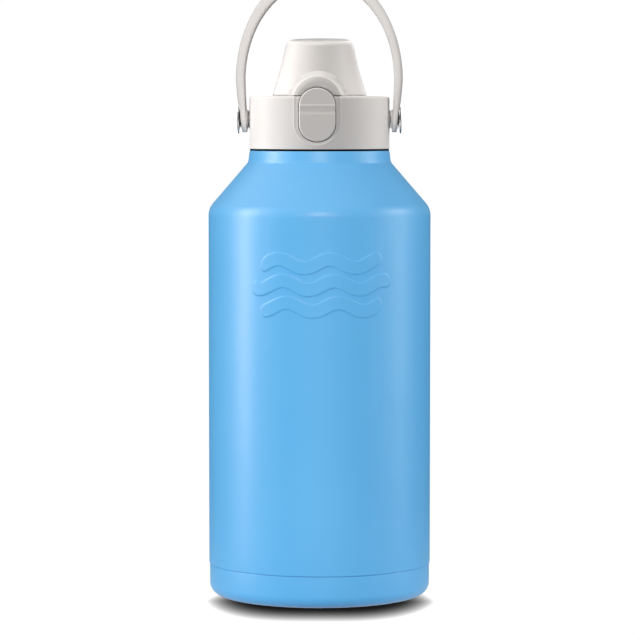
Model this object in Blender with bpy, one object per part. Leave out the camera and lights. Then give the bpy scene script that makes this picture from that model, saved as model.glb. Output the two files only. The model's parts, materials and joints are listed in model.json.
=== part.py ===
"""Vacuum-insulated steel water jug with a screw lid, a sprung flip cap, a push button and a bail handle.

Units are metres, +Z is up and the front is -Y. The origin is the centre of the foot ring, on the floor.
Each visible object is one physical piece. Cutters and joining shapes are hidden guides.
"""

import math

import bmesh
import bpy
from mathutils import Matrix, Vector

# ---- Driving dimensions -------------------------------------------------------------------------

ROUND_SEGMENTS = 32
SMALL_SEGMENTS = 20
ARC_STEPS = 3
EDGE_STEPS = 1
SMALL_EDGE = 0.0012
FIT = 0.0003
FAR = 0.060
OVERSHOOT = 0.0010
BURIED = 0.0005
SKIN = 0.0001
HOLE_REACH = 0.0015

# Body
BODY_R = 0.0590
BODY_WALL = 0.0009
BASE_R = 0.0586
SEAM_Z = 0.0171
SEAM_LAP = 0.0050
SHOULDER_Z = 0.2060
SHOULDER_CORNER_R = 0.0100
NECK_R = 0.0371
NECK_BOTTOM_Z = 0.2305
NECK_FLARE = 0.0008
NECK_FLARE_RISE = 0.0010
NECK_TOP_Z = 0.2366
NECK_FILLET_R = 0.0040
FOOT_CORNER_R = 0.0066
FOOT_INNER_R = 0.0495
RECESS_Z = 0.0034
RECESS_SLOPE = 0.0016
DISC_R = 0.0462
DISC_Z = 0.0010
DISC_THICK = 0.0006
SEAL_HOLE_R = 0.0016
SEAL_BEAD_R = 0.0030

# Inner liner
LINER_R = 0.0553
LINER_WALL = 0.0008
LINER_FLOOR_Z = 0.0080
LINER_FLOOR_CORNER_R = 0.0090
LINER_SHOULDER_Z = 0.2010
LINER_SHOULDER_CORNER_R = 0.0080
LINER_NECK_FILLET_R = 0.0050
MOUTH_OUTER_R = 0.0276
MOUTH_INNER_R = 0.0260
LIP_Z = 0.2506
LIP_EDGE = 0.0004
GETTER_X = 0.0220
GETTER_R = 0.0060
GETTER_THICK = 0.0016

# Thread: two starts
THREAD_LEAD = 0.0080
THREAD_STARTS = 2
THREAD_FIRST_Z = 0.2400
THREAD_TURNS = 0.75
THREAD_CREST_R = 0.0290
THREAD_ROOT_HALF = 0.00095
THREAD_CREST_HALF = 0.00045
THREAD_BURIED = 0.0005
LID_ROOT_R = 0.0294
LID_CREST_R = 0.02805

# Seals
GASKET_INNER_R = 0.0340
GASKET_INSET = 0.0002
LID_SEAL_R = 0.0284

# Lid
LID_R = 0.0371
LID_WALL = 0.0018
LID_BOTTOM_Z = 0.2376
LID_FOOT_EDGE = 0.0003
DECK_Z = 0.2655
DECK_THICK = 0.0020
DECK_CORNER_R = 0.0016
BOSS_R = 0.0207
BOSS_Z = 0.2662
SPOUT_HOLE_R = 0.0132
RIB_OUTER_R = 0.0310
RIB_INNER_R = 0.0295
INSERT_TOP_Z = 0.2560
INSERT_LIFT = 0.0006
CEILING_Z = 0.2523
CEILING_THICK = 0.0020
PLUG_R = 0.0252
PLUG_WALL = 0.0018
PLUG_BOTTOM_Z = 0.2430
PLUG_EDGE = 0.0006
SPOUT_R = 0.0125
SPOUT_BORE_R = 0.0105
SPOUT_TOP_Z = 0.2879
SPOUT_LIP_EDGE = 0.0008

# Flip cap
CAP_RIM_Z = 0.2659
CAP_RIM_R = 0.0251
CAP_TAPER = 0.3406
CAP_FLARE = 2.78
CAP_SIDE_TOP_Z = 0.2912
CAP_SHOULDER = 0.0010
CAP_TOP_Z = 0.2950
CAP_TOP_DRAFT = 0.0012
CAP_TOP_CORNER_R = 0.0026
CAP_WALL = 0.0020
CAP_CEILING_Z = 0.2924
CAP_LEAN = math.tan(math.radians(5.3))
CAP_LEAN_FROM_Z = 0.2810
HOOD_R = 0.0129
HOOD_ARC_Z = 0.2625
HOOD_REACH = 0.0369
HOOD_ROOT_Y = -0.0160
CORE_HALF = 0.0085
CORE_FRONT_Y = -0.0298
CORE_BACK_Y = -0.0255
CORE_TOP_Z = 0.2700
LINER_CLIP_Z = 0.2878
LINER_CLIP_R = 0.0144
LINER_UNDER_Z = 0.2906
SEAL_DISC_R = 0.0140
SEAL_DISC_TOP_Z = 0.2903
SEAL_DOME_R = 0.0100
SEAL_DOME_DEPTH = 0.0010

# Cap hinge
HINGE_Y = 0.0265
HINGE_Z = 0.2625
HINGE_PIN_R = 0.0012
HINGE_PIN_HALF = 0.0136
HINGE_HOLE_END = 0.0165
KNUCKLE_R = 0.0032
KNUCKLE_IN = 0.0041
KNUCKLE_OUT = 0.0095
WEB_TOP_RISE = 0.0087
WEB_LOW_RISE = 0.0065
WEB_SUNK_OUT = 0.0010
WEB_SUNK_IN = 0.0007
LUG_R = 0.0034
LUG_IN = 0.0098
LUG_OUT = 0.0145
NOTCH_HALF = 0.0140
NOTCH_FRONT_Y = 0.0200
NOTCH_FLOOR_Z = 0.2586
POCKET_WALL = 0.0014
SPRING_MEAN_R = 0.0021
SPRING_WIRE_R = 0.0004
SPRING_LEG = 0.0050
SPRING_TURNS = 3.5
SPRING_LENGTH = 0.0056
COIL_POINTS = 12

# Button and the stadium-shaped opening it sits in
BUTTON_HALF = 0.0095
BUTTON_BOTTOM_Z = 0.2415
BUTTON_TOP_Z = 0.2696
BUTTON_FRONT_Y = -0.0368
BUTTON_BACK_Y = -0.0346
BUTTON_EDGE = 0.0006
OPENING_GAP = 0.00035
OPENING_BACK_Y = -0.0324
RECESS_HALF = 0.0123
RECESS_BOTTOM_Z = 0.2394
RECESS_TOP_Z = 0.2748
RECESS_DEEP = 0.0011
GROOVE_TOP_Z = 0.2612
GROOVE_FOOT_Z = 0.2568
GROOVE_DEEP = 0.0007
GROOVE_LEDGE_SLOPE = 0.0004
GROOVE_FLOOR_DROP = 0.0018
GROOVE_RUN_OUT = 0.0004
BUTTON_AXIS_Y = -0.0330
BUTTON_AXIS_Z = 0.2590
BUTTON_PIN_R = 0.0009
BUTTON_PIN_HALF = 0.0120
BUTTON_HOLE_END = 0.0140
LUG_FRONT_Y = -0.0344
LUG_BACK_Y = -0.0313
PIN_LUG_IN = 0.0103
PIN_LUG_OUT = 0.0128
PIN_LUG_BOTTOM_Z = 0.2566
PIN_LUG_TOP_Z = 0.2645
ROCKER_LUG_IN = 0.0055
ROCKER_LUG_OUT = 0.0085
ROCKER_LUG_HALF = 0.0020
ROCKER_LUG_BEHIND = 0.0014
POST_Z = 0.2460
POST_R = 0.0018
POST_END_Y = -0.0336
BUTTON_SPRING_END_Y = -0.0315
BUTTON_SPRING_R = 0.0024
BUTTON_SPRING_WIRE_R = 0.00025
BUTTON_SPRING_TURNS = 3

# Latch: a lip on the cap's tongue, caught by a hook on the button's back
TONGUE_HALF = 0.0050
POCKET_GAP = 0.0005
TONGUE_FRONT_Y = -0.0320
TONGUE_BACK_Y = -0.0309
TONGUE_BOTTOM_Z = 0.2646
TONGUE_TOP_Z = 0.2680
LIP_TIP_Y = -0.0330
LIP_TOP_Z = 0.2658
HOOK_HALF = 0.0045
HOOK_TOP_Z = 0.2673
HOOK_ROOT_Y = -0.0349

# Handle
PIVOT_Z = 0.2532
HANDLE_SPRING_Z = 0.2740
HANDLE_OUTER_X = 0.0441
HANDLE_OUTER_RISE = 0.0587
HANDLE_INNER_X = 0.0396
HANDLE_INNER_RISE = 0.0516
HANDLE_OUTER_LEAN = 0.0032
HANDLE_INNER_LEAN = 0.0012
HANDLE_LEAN_POWER = 1.25
HANDLE_FOOT_Z = 0.2465
HANDLE_WIDTH = 0.0150
HANDLE_EDGE = 0.0012
EYE_R = 0.0070
EYE_HOLE_R = 0.0033
BOSS_END_X = 0.0377
SIDE_BOSS_R = 0.00425
PAD_R = 0.0050
SPOT_FACE_X = 0.0418
SPOT_FACE_DEEP = 0.0004
HEAD_R = 0.0075
SPOT_FACE_R = 0.0079
HEAD_RIM_X = 0.0425
HEAD_RIM_THICK = 0.0005
HEAD_END_X = 0.0447
SHANK_R = 0.0020
SHANK_END_X = 0.0346
BUSH_R = 0.0030
BUSH_FLANGE_R = 0.0043


# ---- Materials ----------------------------------------------------------------------------------

def finish(name, colour, roughness, metallic=0.0):
    material = bpy.data.materials.new(name)
    material.use_nodes = True
    shader = material.node_tree.nodes["Principled BSDF"]
    shader.inputs["Base Color"].default_value = (*colour, 1.0)
    shader.inputs["Roughness"].default_value = roughness
    shader.inputs["Metallic"].default_value = metallic
    return material


def make_finishes():
    return {
        "coat": finish("sky_blue_powder_coat", (0.13, 0.46, 0.79), 0.45),
        "steel": finish("brushed_stainless", (0.62, 0.61, 0.60), 0.30, 1.0),
        "shell": finish("off_white_plastic", (0.80, 0.78, 0.76), 0.40),
        "inner": finish("grey_inner_plastic", (0.45, 0.45, 0.45), 0.45),
        "rubber": finish("black_rubber", (0.02, 0.02, 0.02), 0.60),
        "silicone": finish("clear_silicone", (0.70, 0.72, 0.74), 0.40),
        "nylon": finish("dark_nylon", (0.05, 0.045, 0.04), 0.50),
        "glass": finish("seal_glass", (0.25, 0.22, 0.18), 0.20),
        "getter": finish("getter_alloy", (0.20, 0.20, 0.21), 0.70, 1.0),
    }


# ---- Outlines -----------------------------------------------------------------------------------

def arc_points(centre, radius, start, end, steps):
    """Points on an arc, angles in degrees, both ends included."""
    points = []
    for i in range(steps + 1):
        angle = math.radians(start + (end - start) * i / steps)
        points.append((centre[0] + radius * math.cos(angle), centre[1] + radius * math.sin(angle)))
    return points


def rounded(corners, steps=ARC_STEPS):
    """A closed outline. A corner is (u, v), or (u, v, radius) if rounded. Small radii are chamfers."""
    outline = []
    count = len(corners)
    for i, corner in enumerate(corners):
        here = Vector(corner[:2])
        if len(corner) == 2:
            outline.append(tuple(here))
            continue
        to_last = (Vector(corners[i - 1][:2]) - here).normalized()
        to_next = (Vector(corners[(i + 1) % count][:2]) - here).normalized()
        half = to_last.angle(to_next) / 2
        centre = here + (to_last + to_next).normalized() * corner[2] / math.sin(half)
        first = here + to_last * corner[2] / math.tan(half) - centre
        turn = first.angle_signed(here + to_next * corner[2] / math.tan(half) - centre)
        pieces = EDGE_STEPS if corner[2] < SMALL_EDGE else steps
        for k in range(pieces + 1):
            spoke = Matrix.Rotation(-turn * k / pieces, 2) @ first
            outline.append(tuple(centre + spoke))
    return outline


def stadium(half, bottom, top, steps=10):
    """An upright stadium: a half circle at the top and one at the bottom."""
    upper = arc_points((0.0, top - half), half, 0, 180, steps)
    lower = arc_points((0.0, bottom + half), half, 180, 360, steps)
    return upper + lower


def circle(centre, radius, steps=SMALL_SEGMENTS):
    return arc_points(centre, radius, 0, 360, steps)[:-1]


def box_outline(low, high):
    return [(low[0], low[1]), (high[0], low[1]), (high[0], high[1]), (low[0], high[1])]


# ---- Solids -------------------------------------------------------------------------------------

def add_object(name, mesh, material=None):
    obj = bpy.data.objects.new(name, mesh)
    bpy.context.scene.collection.objects.link(obj)
    if material:
        mesh.materials.append(material)
    return obj


def object_from(name, bm, material=None, sharp=40):
    bmesh.ops.remove_doubles(bm, verts=bm.verts, dist=1e-7)
    bmesh.ops.recalc_face_normals(bm, faces=bm.faces)
    mesh = bpy.data.meshes.new(name)
    bm.to_mesh(mesh)
    bm.free()
    mesh.shade_smooth()
    mesh.set_sharp_from_angle(angle=math.radians(sharp))
    return add_object(name, mesh, material)


def turned(name, outline, material=None, segments=ROUND_SEGMENTS, axis="Z", centre=(0.0, 0.0, 0.0)):
    """A closed outline of (radius, place along the axis), spun round the axis through centre."""
    bm = bmesh.new()
    verts = [bm.verts.new((r, 0.0, along)) for r, along in outline]
    edges = [bm.edges.new((verts[i - 1], verts[i])) for i in range(len(verts))]
    bmesh.ops.spin(
        bm, geom=verts + edges, cent=(0, 0, 0), axis=(0, 0, 1), dvec=(0, 0, 0),
        angle=math.tau, steps=segments, use_merge=True, use_duplicate=False,
    )
    if axis == "X":
        bmesh.ops.rotate(bm, verts=bm.verts, cent=(0, 0, 0), matrix=Matrix.Rotation(math.pi / 2, 3, "Y"))
    if axis == "-X":
        bmesh.ops.rotate(bm, verts=bm.verts, cent=(0, 0, 0), matrix=Matrix.Rotation(-math.pi / 2, 3, "Y"))
    bmesh.ops.translate(bm, verts=bm.verts, vec=centre)
    return object_from(name, bm, material)


def prism(name, outline, along, start, end, material=None):
    """An outline extruded from start to end: (x, z) along Y, or (y, z) along X, or (x, y) along Z."""
    def place(point, depth):
        if along == "X":
            return (depth, point[0], point[1])
        if along == "Y":
            return (point[0], depth, point[1])
        return (point[0], point[1], depth)

    bm = bmesh.new()
    face = bm.faces.new([bm.verts.new(place(point, start)) for point in outline])
    grown = bmesh.ops.extrude_face_region(bm, geom=[face])
    moved = [item for item in grown["geom"] if isinstance(item, bmesh.types.BMVert)]
    step = Vector(place((0.0, 0.0), end)) - Vector(place((0.0, 0.0), start))
    bmesh.ops.translate(bm, verts=moved, vec=step)
    return object_from(name, bm, material)


def block(name, low, high):
    return prism(name, box_outline(low[:2], high[:2]), "Z", low[2], high[2])


def lofted(name, loops, material=None, sharp=40):
    """A skin through loops with equal numbers of points, closed by a face at each end."""
    bm = bmesh.new()
    rings = [[bm.verts.new(point) for point in loop] for loop in loops]
    for lower, upper in zip(rings, rings[1:]):
        for i in range(len(lower)):
            bm.faces.new((lower[i - 1], lower[i], upper[i], upper[i - 1]))
    bm.faces.new(rings[0])
    bm.faces.new(rings[-1])
    return object_from(name, bm, material, sharp)


def swept_tube(name, path, radius, material, sides=6):
    """A round wire along a path of points, with flat ends."""
    curve = bpy.data.curves.new(name, "CURVE")
    curve.dimensions = "3D"
    spline = curve.splines.new("POLY")
    spline.points.add(len(path) - 1)
    for point, place in zip(spline.points, path):
        point.co = (*place, 1.0)
    curve.bevel_depth = radius
    curve.bevel_resolution = (sides - 4) // 2
    curve.use_fill_caps = True
    curve.materials.append(material)
    obj = bpy.data.objects.new(name, curve)
    bpy.context.scene.collection.objects.link(obj)
    return obj


def combine(target, tool, operation):
    """A Boolean of the target with a hidden guide that moves with it."""
    tool.hide_render = True
    tool.display_type = "WIRE"
    tool.parent = target
    modifier = target.modifiers.new(tool.name, "BOOLEAN")
    modifier.operation = operation
    modifier.solver = "EXACT"
    modifier.object = tool


def cut(target, *tools):
    for tool in tools:
        combine(target, tool, "DIFFERENCE")


def join(target, *tools):
    for tool in tools:
        combine(target, tool, "UNION")


def axis_empty(name, place):
    empty = bpy.data.objects.new(name, None)
    empty.location = place
    bpy.context.scene.collection.objects.link(empty)
    return empty


def hang(parent, *children):
    """Parents pieces to an empty, keeping them where they are."""
    for child in children:
        child.parent = parent
        child.matrix_parent_inverse = Matrix.Translation(-Vector(parent.location))


# ---- Insulated body -----------------------------------------------------------------------------

def shell_profile(inset):
    """The outer wall from the seam to the neck's top, moved inwards by inset."""
    return [
        (BODY_R - inset, SEAM_Z + FIT / 2),
        (BODY_R - inset, SHOULDER_Z, SHOULDER_CORNER_R - inset),
        (NECK_R + NECK_FLARE - inset, NECK_BOTTOM_Z, NECK_FILLET_R),
        (NECK_R - inset, NECK_BOTTOM_Z + NECK_FLARE_RISE),
    ]


def make_outer_shell(finishes):
    outer = shell_profile(0.0)
    inner = shell_profile(BODY_WALL)
    top = [
        (NECK_R, NECK_TOP_Z, 0.0006),
        (MOUTH_OUTER_R + FIT, NECK_TOP_Z),
        (MOUTH_OUTER_R + FIT, NECK_TOP_Z - BODY_WALL),
        (NECK_R - BODY_WALL, NECK_TOP_Z - BODY_WALL),
    ]
    return turned("outer_shell", rounded(outer + top + inner[::-1]), finishes["coat"])


def make_base_cup(finishes):
    lap_r = BODY_R - BODY_WALL - FIT
    rim_z = SEAM_Z - FIT / 2
    wall = BODY_WALL
    outline = rounded([
        (BASE_R, rim_z),
        (lap_r, rim_z),
        (lap_r, rim_z + SEAM_LAP),
        (lap_r - wall, rim_z + SEAM_LAP),
        (lap_r - wall, wall, FOOT_CORNER_R - wall),
        (FOOT_INNER_R + wall / 2, wall),
        (FOOT_INNER_R + wall - RECESS_SLOPE, RECESS_Z + wall),
        (SEAL_HOLE_R, RECESS_Z + wall),
        (SEAL_HOLE_R, RECESS_Z),
        (FOOT_INNER_R - RECESS_SLOPE, RECESS_Z),
        (FOOT_INNER_R, 0.0),
        (BASE_R, 0.0, FOOT_CORNER_R),
    ])
    return turned("base_cup", outline, finishes["coat"])


def make_base_disc(finishes):
    outline = box_outline((0.0, DISC_Z), (DISC_R, DISC_Z + DISC_THICK))
    return turned("base_disc", outline, finishes["steel"])


def make_vacuum_seal(finishes):
    """A flat-topped bead that hangs down a third of its radius."""
    top_z = RECESS_Z - FIT
    dome = arc_points((0.0, 0.0), SEAL_BEAD_R, 0, -90, ARC_STEPS)
    outline = [(0.0, top_z)] + [(r, top_z + drop / 3) for r, drop in dome]
    return turned("vacuum_seal", outline, finishes["glass"], SMALL_SEGMENTS)


def make_vacuum_getter(finishes):
    top_z = LINER_FLOOR_Z - FIT
    outline = box_outline((0.0, top_z - GETTER_THICK), (GETTER_R, top_z))
    return turned("vacuum_getter", outline, finishes["getter"], SMALL_SEGMENTS, centre=(GETTER_X, 0.0, 0.0))


def liner_profile(outset):
    """The liner's inner surface from the floor to the lip, moved outwards by outset."""
    bore = LINER_R - LINER_WALL + outset
    return [
        (0.0, LINER_FLOOR_Z + LINER_WALL - outset),
        (bore, LINER_FLOOR_Z + LINER_WALL - outset, LINER_FLOOR_CORNER_R),
        (bore, LINER_SHOULDER_Z, LINER_SHOULDER_CORNER_R),
        (MOUTH_INNER_R + outset, NECK_BOTTOM_Z, LINER_NECK_FILLET_R),
    ]


def thread_loops(start_angle, root_r, crest_r, middle_z, turns):
    """Sections of one trapezoid thread: root_r is buried in the wall, crest_r is the free edge."""
    loops = []
    steps = round(turns * ROUND_SEGMENTS)
    root, crest = THREAD_ROOT_HALF, THREAD_CREST_HALF
    for i in range(steps + 1):
        angle = start_angle + math.tau * i / ROUND_SEGMENTS
        z = middle_z + THREAD_LEAD * i / ROUND_SEGMENTS
        across = [(root_r, -root), (crest_r, -crest), (crest_r, crest), (root_r, root)]
        loops.append([(r * math.cos(angle), r * math.sin(angle), z + dz) for r, dz in across])
    return loops


def add_threads(target, root_r, crest_r, middle_z, turns, phase):
    for start in range(THREAD_STARTS):
        angle = phase + math.tau * start / THREAD_STARTS
        loops = thread_loops(angle, root_r, crest_r, middle_z, turns)
        join(target, lofted(f"{target.name}_thread_{start}", loops))


def make_inner_liner(finishes):
    inner = liner_profile(0.0)
    outer = liner_profile(LINER_WALL)
    mouth = [
        (MOUTH_INNER_R, LIP_Z, LIP_EDGE),
        (MOUTH_OUTER_R, LIP_Z, LIP_EDGE),
        (MOUTH_OUTER_R, NECK_TOP_Z - 0.0050),
        (MOUTH_INNER_R + LINER_WALL, NECK_TOP_Z - 0.0060),
    ]
    liner = turned("inner_liner", rounded(inner + mouth + outer[::-1]), finishes["steel"])
    add_threads(liner, MOUTH_OUTER_R - THREAD_BURIED, THREAD_CREST_R, THREAD_FIRST_Z, THREAD_TURNS, 0.0)
    return liner


# ---- Seals between lid and body -----------------------------------------------------------------

def ring(name, inner_r, outer_r, low, high, material):
    return turned(name, box_outline((inner_r, low), (outer_r, high)), material)


def make_seals(finishes):
    low, high = NECK_TOP_Z + FIT, LID_BOTTOM_Z - FIT
    gasket = ring("neck_gasket", GASKET_INNER_R, NECK_R - GASKET_INSET, low, high, finishes["rubber"])
    seal = ring("lid_seal", PLUG_R + FIT, LID_SEAL_R, LIP_Z + FIT, CEILING_Z - FIT, finishes["silicone"])
    return [gasket, seal]


# ---- Lid ----------------------------------------------------------------------------------------

def on_lid_surface(point, depth):
    """A point of the front view (x, z), put on the lid's outer cylinder or that far inside it."""
    x, z = point
    return (x, depth - math.sqrt(LID_R**2 - x**2), z)


def front_cutter(name, back_y):
    """The button's opening with its sloping surround: wide at the surface, narrow where the button sits."""
    outer = stadium(RECESS_HALF, RECESS_BOTTOM_Z, RECESS_TOP_Z)
    half = BUTTON_HALF + OPENING_GAP
    inner = stadium(half, BUTTON_BOTTOM_Z - OPENING_GAP, BUTTON_TOP_Z + OPENING_GAP)
    middle_z = (RECESS_BOTTOM_Z + RECESS_TOP_Z) / 2
    loops = [
        [(x, -FAR, z) for x, z in outer],
        [on_lid_surface(point, -SKIN) for point in outer],
        [on_lid_surface(point, RECESS_DEEP + max(0.0, point[1] - middle_z) / 20) for point in inner],
        [(x, back_y, z) for x, z in inner],
    ]
    return lofted(name, loops)


def lug_outline(radius, base_z):
    """Side view (y, z) of a hinge lug: straight sides with a round top about the hinge axis."""
    top = arc_points((HINGE_Y, HINGE_Z), radius, 0, 180, 8)
    return top + [(HINGE_Y - radius, base_z), (HINGE_Y + radius, base_z)]


def x_cylinder(name, place, radius, start, end, steps=SMALL_SEGMENTS):
    """A cylinder along X about (y, z)."""
    return prism(name, circle(place, radius, steps), "X", start, end)


def make_lid_collar(finishes):
    under = DECK_Z - DECK_THICK
    collar = turned("lid_collar", rounded([
        (SPOUT_HOLE_R, BOSS_Z),
        (BOSS_R, BOSS_Z),
        (BOSS_R, DECK_Z),
        (LID_R, DECK_Z, DECK_CORNER_R),
        (LID_R, LID_BOTTOM_Z, LID_FOOT_EDGE),
        (LID_R - LID_WALL, LID_BOTTOM_Z),
        (LID_R - LID_WALL, under),
        (RIB_OUTER_R, under),
        (RIB_OUTER_R, INSERT_TOP_Z + FIT),
        (RIB_INNER_R, INSERT_TOP_Z + FIT),
        (RIB_INNER_R, under),
        (SPOUT_HOLE_R, under),
    ]), finishes["shell"])
    for side, sign in (("left", -1), ("right", 1)):
        root_x, end_x = sign * (LID_R - LID_WALL + BURIED), sign * BOSS_END_X
        join(collar, x_cylinder(f"side_boss_{side}", (0.0, PIVOT_Z), SIDE_BOSS_R, root_x, end_x))
    housing = block(
        "hinge_housing",
        (-NOTCH_HALF - POCKET_WALL, NOTCH_FRONT_Y - POCKET_WALL, NOTCH_FLOOR_Z - POCKET_WALL),
        (NOTCH_HALF + POCKET_WALL, LID_R, DECK_Z - DECK_THICK / 2),
    )
    inside_r = LID_R - LID_WALL / 3
    limit = turned("housing_limit", box_outline((0.0, NOTCH_FLOOR_Z - 0.0100), (inside_r, DECK_Z)))
    combine(housing, limit, "INTERSECT")
    join(collar, housing)
    cut(collar, block(
        "hinge_notch",
        (-NOTCH_HALF, NOTCH_FRONT_Y, NOTCH_FLOOR_Z),
        (NOTCH_HALF, FAR, DECK_Z + 0.0100),
    ))
    lug = lug_outline(LUG_R, NOTCH_FLOOR_Z - POCKET_WALL / 2)
    for side, sign in (("left", -1), ("right", 1)):
        join(collar, prism(f"hinge_lug_{side}", lug, "X", sign * LUG_IN, sign * LUG_OUT))
        near, far = sorted((sign * PIN_LUG_IN, sign * PIN_LUG_OUT))
        join(collar, block(
            f"button_lug_{side}",
            (near, LUG_FRONT_Y, PIN_LUG_BOTTOM_Z),
            (far, LUG_BACK_Y, PIN_LUG_TOP_Z),
        ))
    hinge = (HINGE_Y, HINGE_Z)
    rocker = (BUTTON_AXIS_Y, BUTTON_AXIS_Z)
    rocker_r, rocker_half = BUTTON_PIN_R + FIT, BUTTON_PIN_HALF + FIT
    slot_half = TONGUE_HALF + 2 * FIT
    cut(
        collar,
        front_cutter("collar_opening", OPENING_BACK_Y),
        block(
            "tongue_slot",
            (-slot_half, BUTTON_BACK_Y, DECK_Z - DECK_THICK - OVERSHOOT / 2),
            (slot_half, TONGUE_BACK_Y + FIT, TONGUE_TOP_Z),
        ),
        x_cylinder("hinge_pin_hole", hinge, HINGE_PIN_R + FIT, -HINGE_PIN_HALF - FIT, HINGE_HOLE_END, 16),
        x_cylinder("button_pin_hole", rocker, rocker_r, -rocker_half, BUTTON_HOLE_END, 16),
        x_cylinder("rivet_hole", (0.0, PIVOT_Z), SHANK_R + FIT, -FAR, FAR, 16),
    )
    return collar


def make_lid_insert(finishes):
    ceiling_top = CEILING_Z + CEILING_THICK
    insert = turned("lid_insert", rounded([
        (SPOUT_BORE_R, SPOUT_TOP_Z, SPOUT_LIP_EDGE),
        (SPOUT_R, SPOUT_TOP_Z, SPOUT_LIP_EDGE),
        (SPOUT_R, ceiling_top),
        (RIB_INNER_R, ceiling_top),
        (RIB_INNER_R, INSERT_TOP_Z),
        (RIB_OUTER_R, INSERT_TOP_Z),
        (RIB_OUTER_R, LID_BOTTOM_Z + INSERT_LIFT),
        (LID_ROOT_R, LID_BOTTOM_Z + INSERT_LIFT),
        (LID_ROOT_R, CEILING_Z),
        (PLUG_R, CEILING_Z),
        (PLUG_R, PLUG_BOTTOM_Z, PLUG_EDGE),
        (PLUG_R - PLUG_WALL, PLUG_BOTTOM_Z, PLUG_EDGE),
        (PLUG_R - PLUG_WALL, CEILING_Z),
        (SPOUT_BORE_R, CEILING_Z),
    ]), finishes["inner"])
    add_threads(insert, LID_ROOT_R + THREAD_BURIED, LID_CREST_R, THREAD_FIRST_Z, THREAD_TURNS, math.pi / 2)
    return insert


# ---- Flip cap -----------------------------------------------------------------------------------

def cap_side_r(z):
    """The cap's outer radius: a cone that flares a little towards its rim."""
    up = z - CAP_RIM_Z
    return CAP_RIM_R - CAP_TAPER * up + CAP_FLARE * up**2


def cap_side(inset, low, high, steps):
    heights = [low + (high - low) * i / steps for i in range(steps + 1)]
    return [(cap_side_r(z) - inset, z) for z in heights]


def lean_top(obj):
    """Tips the cap's top towards the front, fading in up the side."""
    for vertex in obj.data.vertices:
        share = (vertex.co.z - CAP_LEAN_FROM_Z) / (CAP_SIDE_TOP_Z - CAP_LEAN_FROM_Z)
        share = min(1.0, max(0.0, share))
        vertex.co.z += CAP_LEAN * vertex.co.y * share * share * (3 - 2 * share)


def hood_outline():
    """Front view (x, z) of the hood: an arch that ends at the cap's rim."""
    drop = HOOD_ARC_Z - CAP_RIM_Z
    end = math.degrees(math.asin(-drop / HOOD_R))
    return arc_points((0.0, HOOD_ARC_Z), HOOD_R, end, 180 - end, 14)


def web_outline():
    """Side view (y, z) of a hinge knuckle with the web that carries it from the cap's rear wall."""
    lower = arc_points((HINGE_Y, HINGE_Z), KNUCKLE_R, -160, 40, 12)
    wall_y = cap_side_r(CAP_RIM_Z + 2 * KNUCKLE_R) - CAP_WALL / 2
    outer_foot = (wall_y + WEB_SUNK_OUT, HINGE_Z + WEB_TOP_RISE)
    inner_foot = (wall_y - WEB_SUNK_IN, HINGE_Z + WEB_LOW_RISE)
    return lower + [outer_foot, inner_foot]


def make_flip_cap(finishes):
    edge_r = cap_side_r(CAP_SIDE_TOP_Z)
    side = cap_side(0.0, CAP_RIM_Z, CAP_SIDE_TOP_Z - CAP_SHOULDER, 5)
    top = rounded([
        (0.0, CAP_SIDE_TOP_Z),
        (edge_r, CAP_SIDE_TOP_Z),
        (edge_r - CAP_TOP_DRAFT, CAP_TOP_Z, CAP_TOP_CORNER_R),
        (0.0, CAP_TOP_Z),
    ])
    cap = turned("flip_cap", [(0.0, CAP_RIM_Z)] + side + top[1:], finishes["shell"])
    lean_top(cap)
    hood = prism("hood", hood_outline(), "Y", -FAR, HOOD_ROOT_Y)
    limit = turned("hood_limit", box_outline((0.0, HOOD_ARC_Z), (HOOD_REACH, HOOD_ARC_Z + 2 * HOOD_R)))
    combine(hood, limit, "INTERSECT")
    join(cap, hood)
    for name, sign in (("left", -1), ("right", 1)):
        join(cap, prism(f"knuckle_{name}", web_outline(), "X", sign * KNUCKLE_IN, sign * KNUCKLE_OUT))
    below_z = CAP_RIM_Z - OVERSHOOT
    cavity = [(0.0, below_z), (CAP_RIM_R - CAP_WALL, below_z)]
    cavity += cap_side(CAP_WALL, CAP_RIM_Z, CAP_CEILING_Z, 5)
    cavity += [(0.0, CAP_CEILING_Z)]
    pocket_half = TONGUE_HALF + POCKET_GAP
    cut(
        cap,
        turned("cap_cavity", cavity),
        front_cutter("hood_opening", LIP_TIP_Y),
        block("hood_core", (-CORE_HALF, CORE_FRONT_Y, HOOD_ARC_Z), (CORE_HALF, CORE_BACK_Y, CORE_TOP_Z)),
        block(
            "hook_pocket",
            (-pocket_half, LIP_TIP_Y - OVERSHOOT, below_z),
            (pocket_half, TONGUE_FRONT_Y, TONGUE_TOP_Z - SKIN),
        ),
    )
    join(
        cap,
        block(
            "latch_tongue",
            (-TONGUE_HALF, TONGUE_FRONT_Y, TONGUE_BOTTOM_Z),
            (TONGUE_HALF, TONGUE_BACK_Y, TONGUE_TOP_Z),
        ),
        block(
            "latch_lip",
            (-TONGUE_HALF, LIP_TIP_Y, TONGUE_BOTTOM_Z),
            (TONGUE_HALF, TONGUE_FRONT_Y + FIT, LIP_TOP_Z),
        ),
    )
    reach = KNUCKLE_OUT + HOLE_REACH
    cut(cap, x_cylinder("knuckle_hole", (HINGE_Y, HINGE_Z), HINGE_PIN_R + FIT, -reach, reach, 16))
    return cap


def make_cap_liner(finishes):
    top = CAP_CEILING_Z - FIT
    outer = cap_side_r(top) - CAP_WALL - 2 * FIT
    return turned("cap_liner", [
        (0.0, top),
        (outer, top),
        (outer, LINER_CLIP_Z),
        (LINER_CLIP_R, LINER_CLIP_Z),
        (LINER_CLIP_R, LINER_UNDER_Z),
        (0.0, LINER_UNDER_Z),
    ], finishes["inner"])


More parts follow.
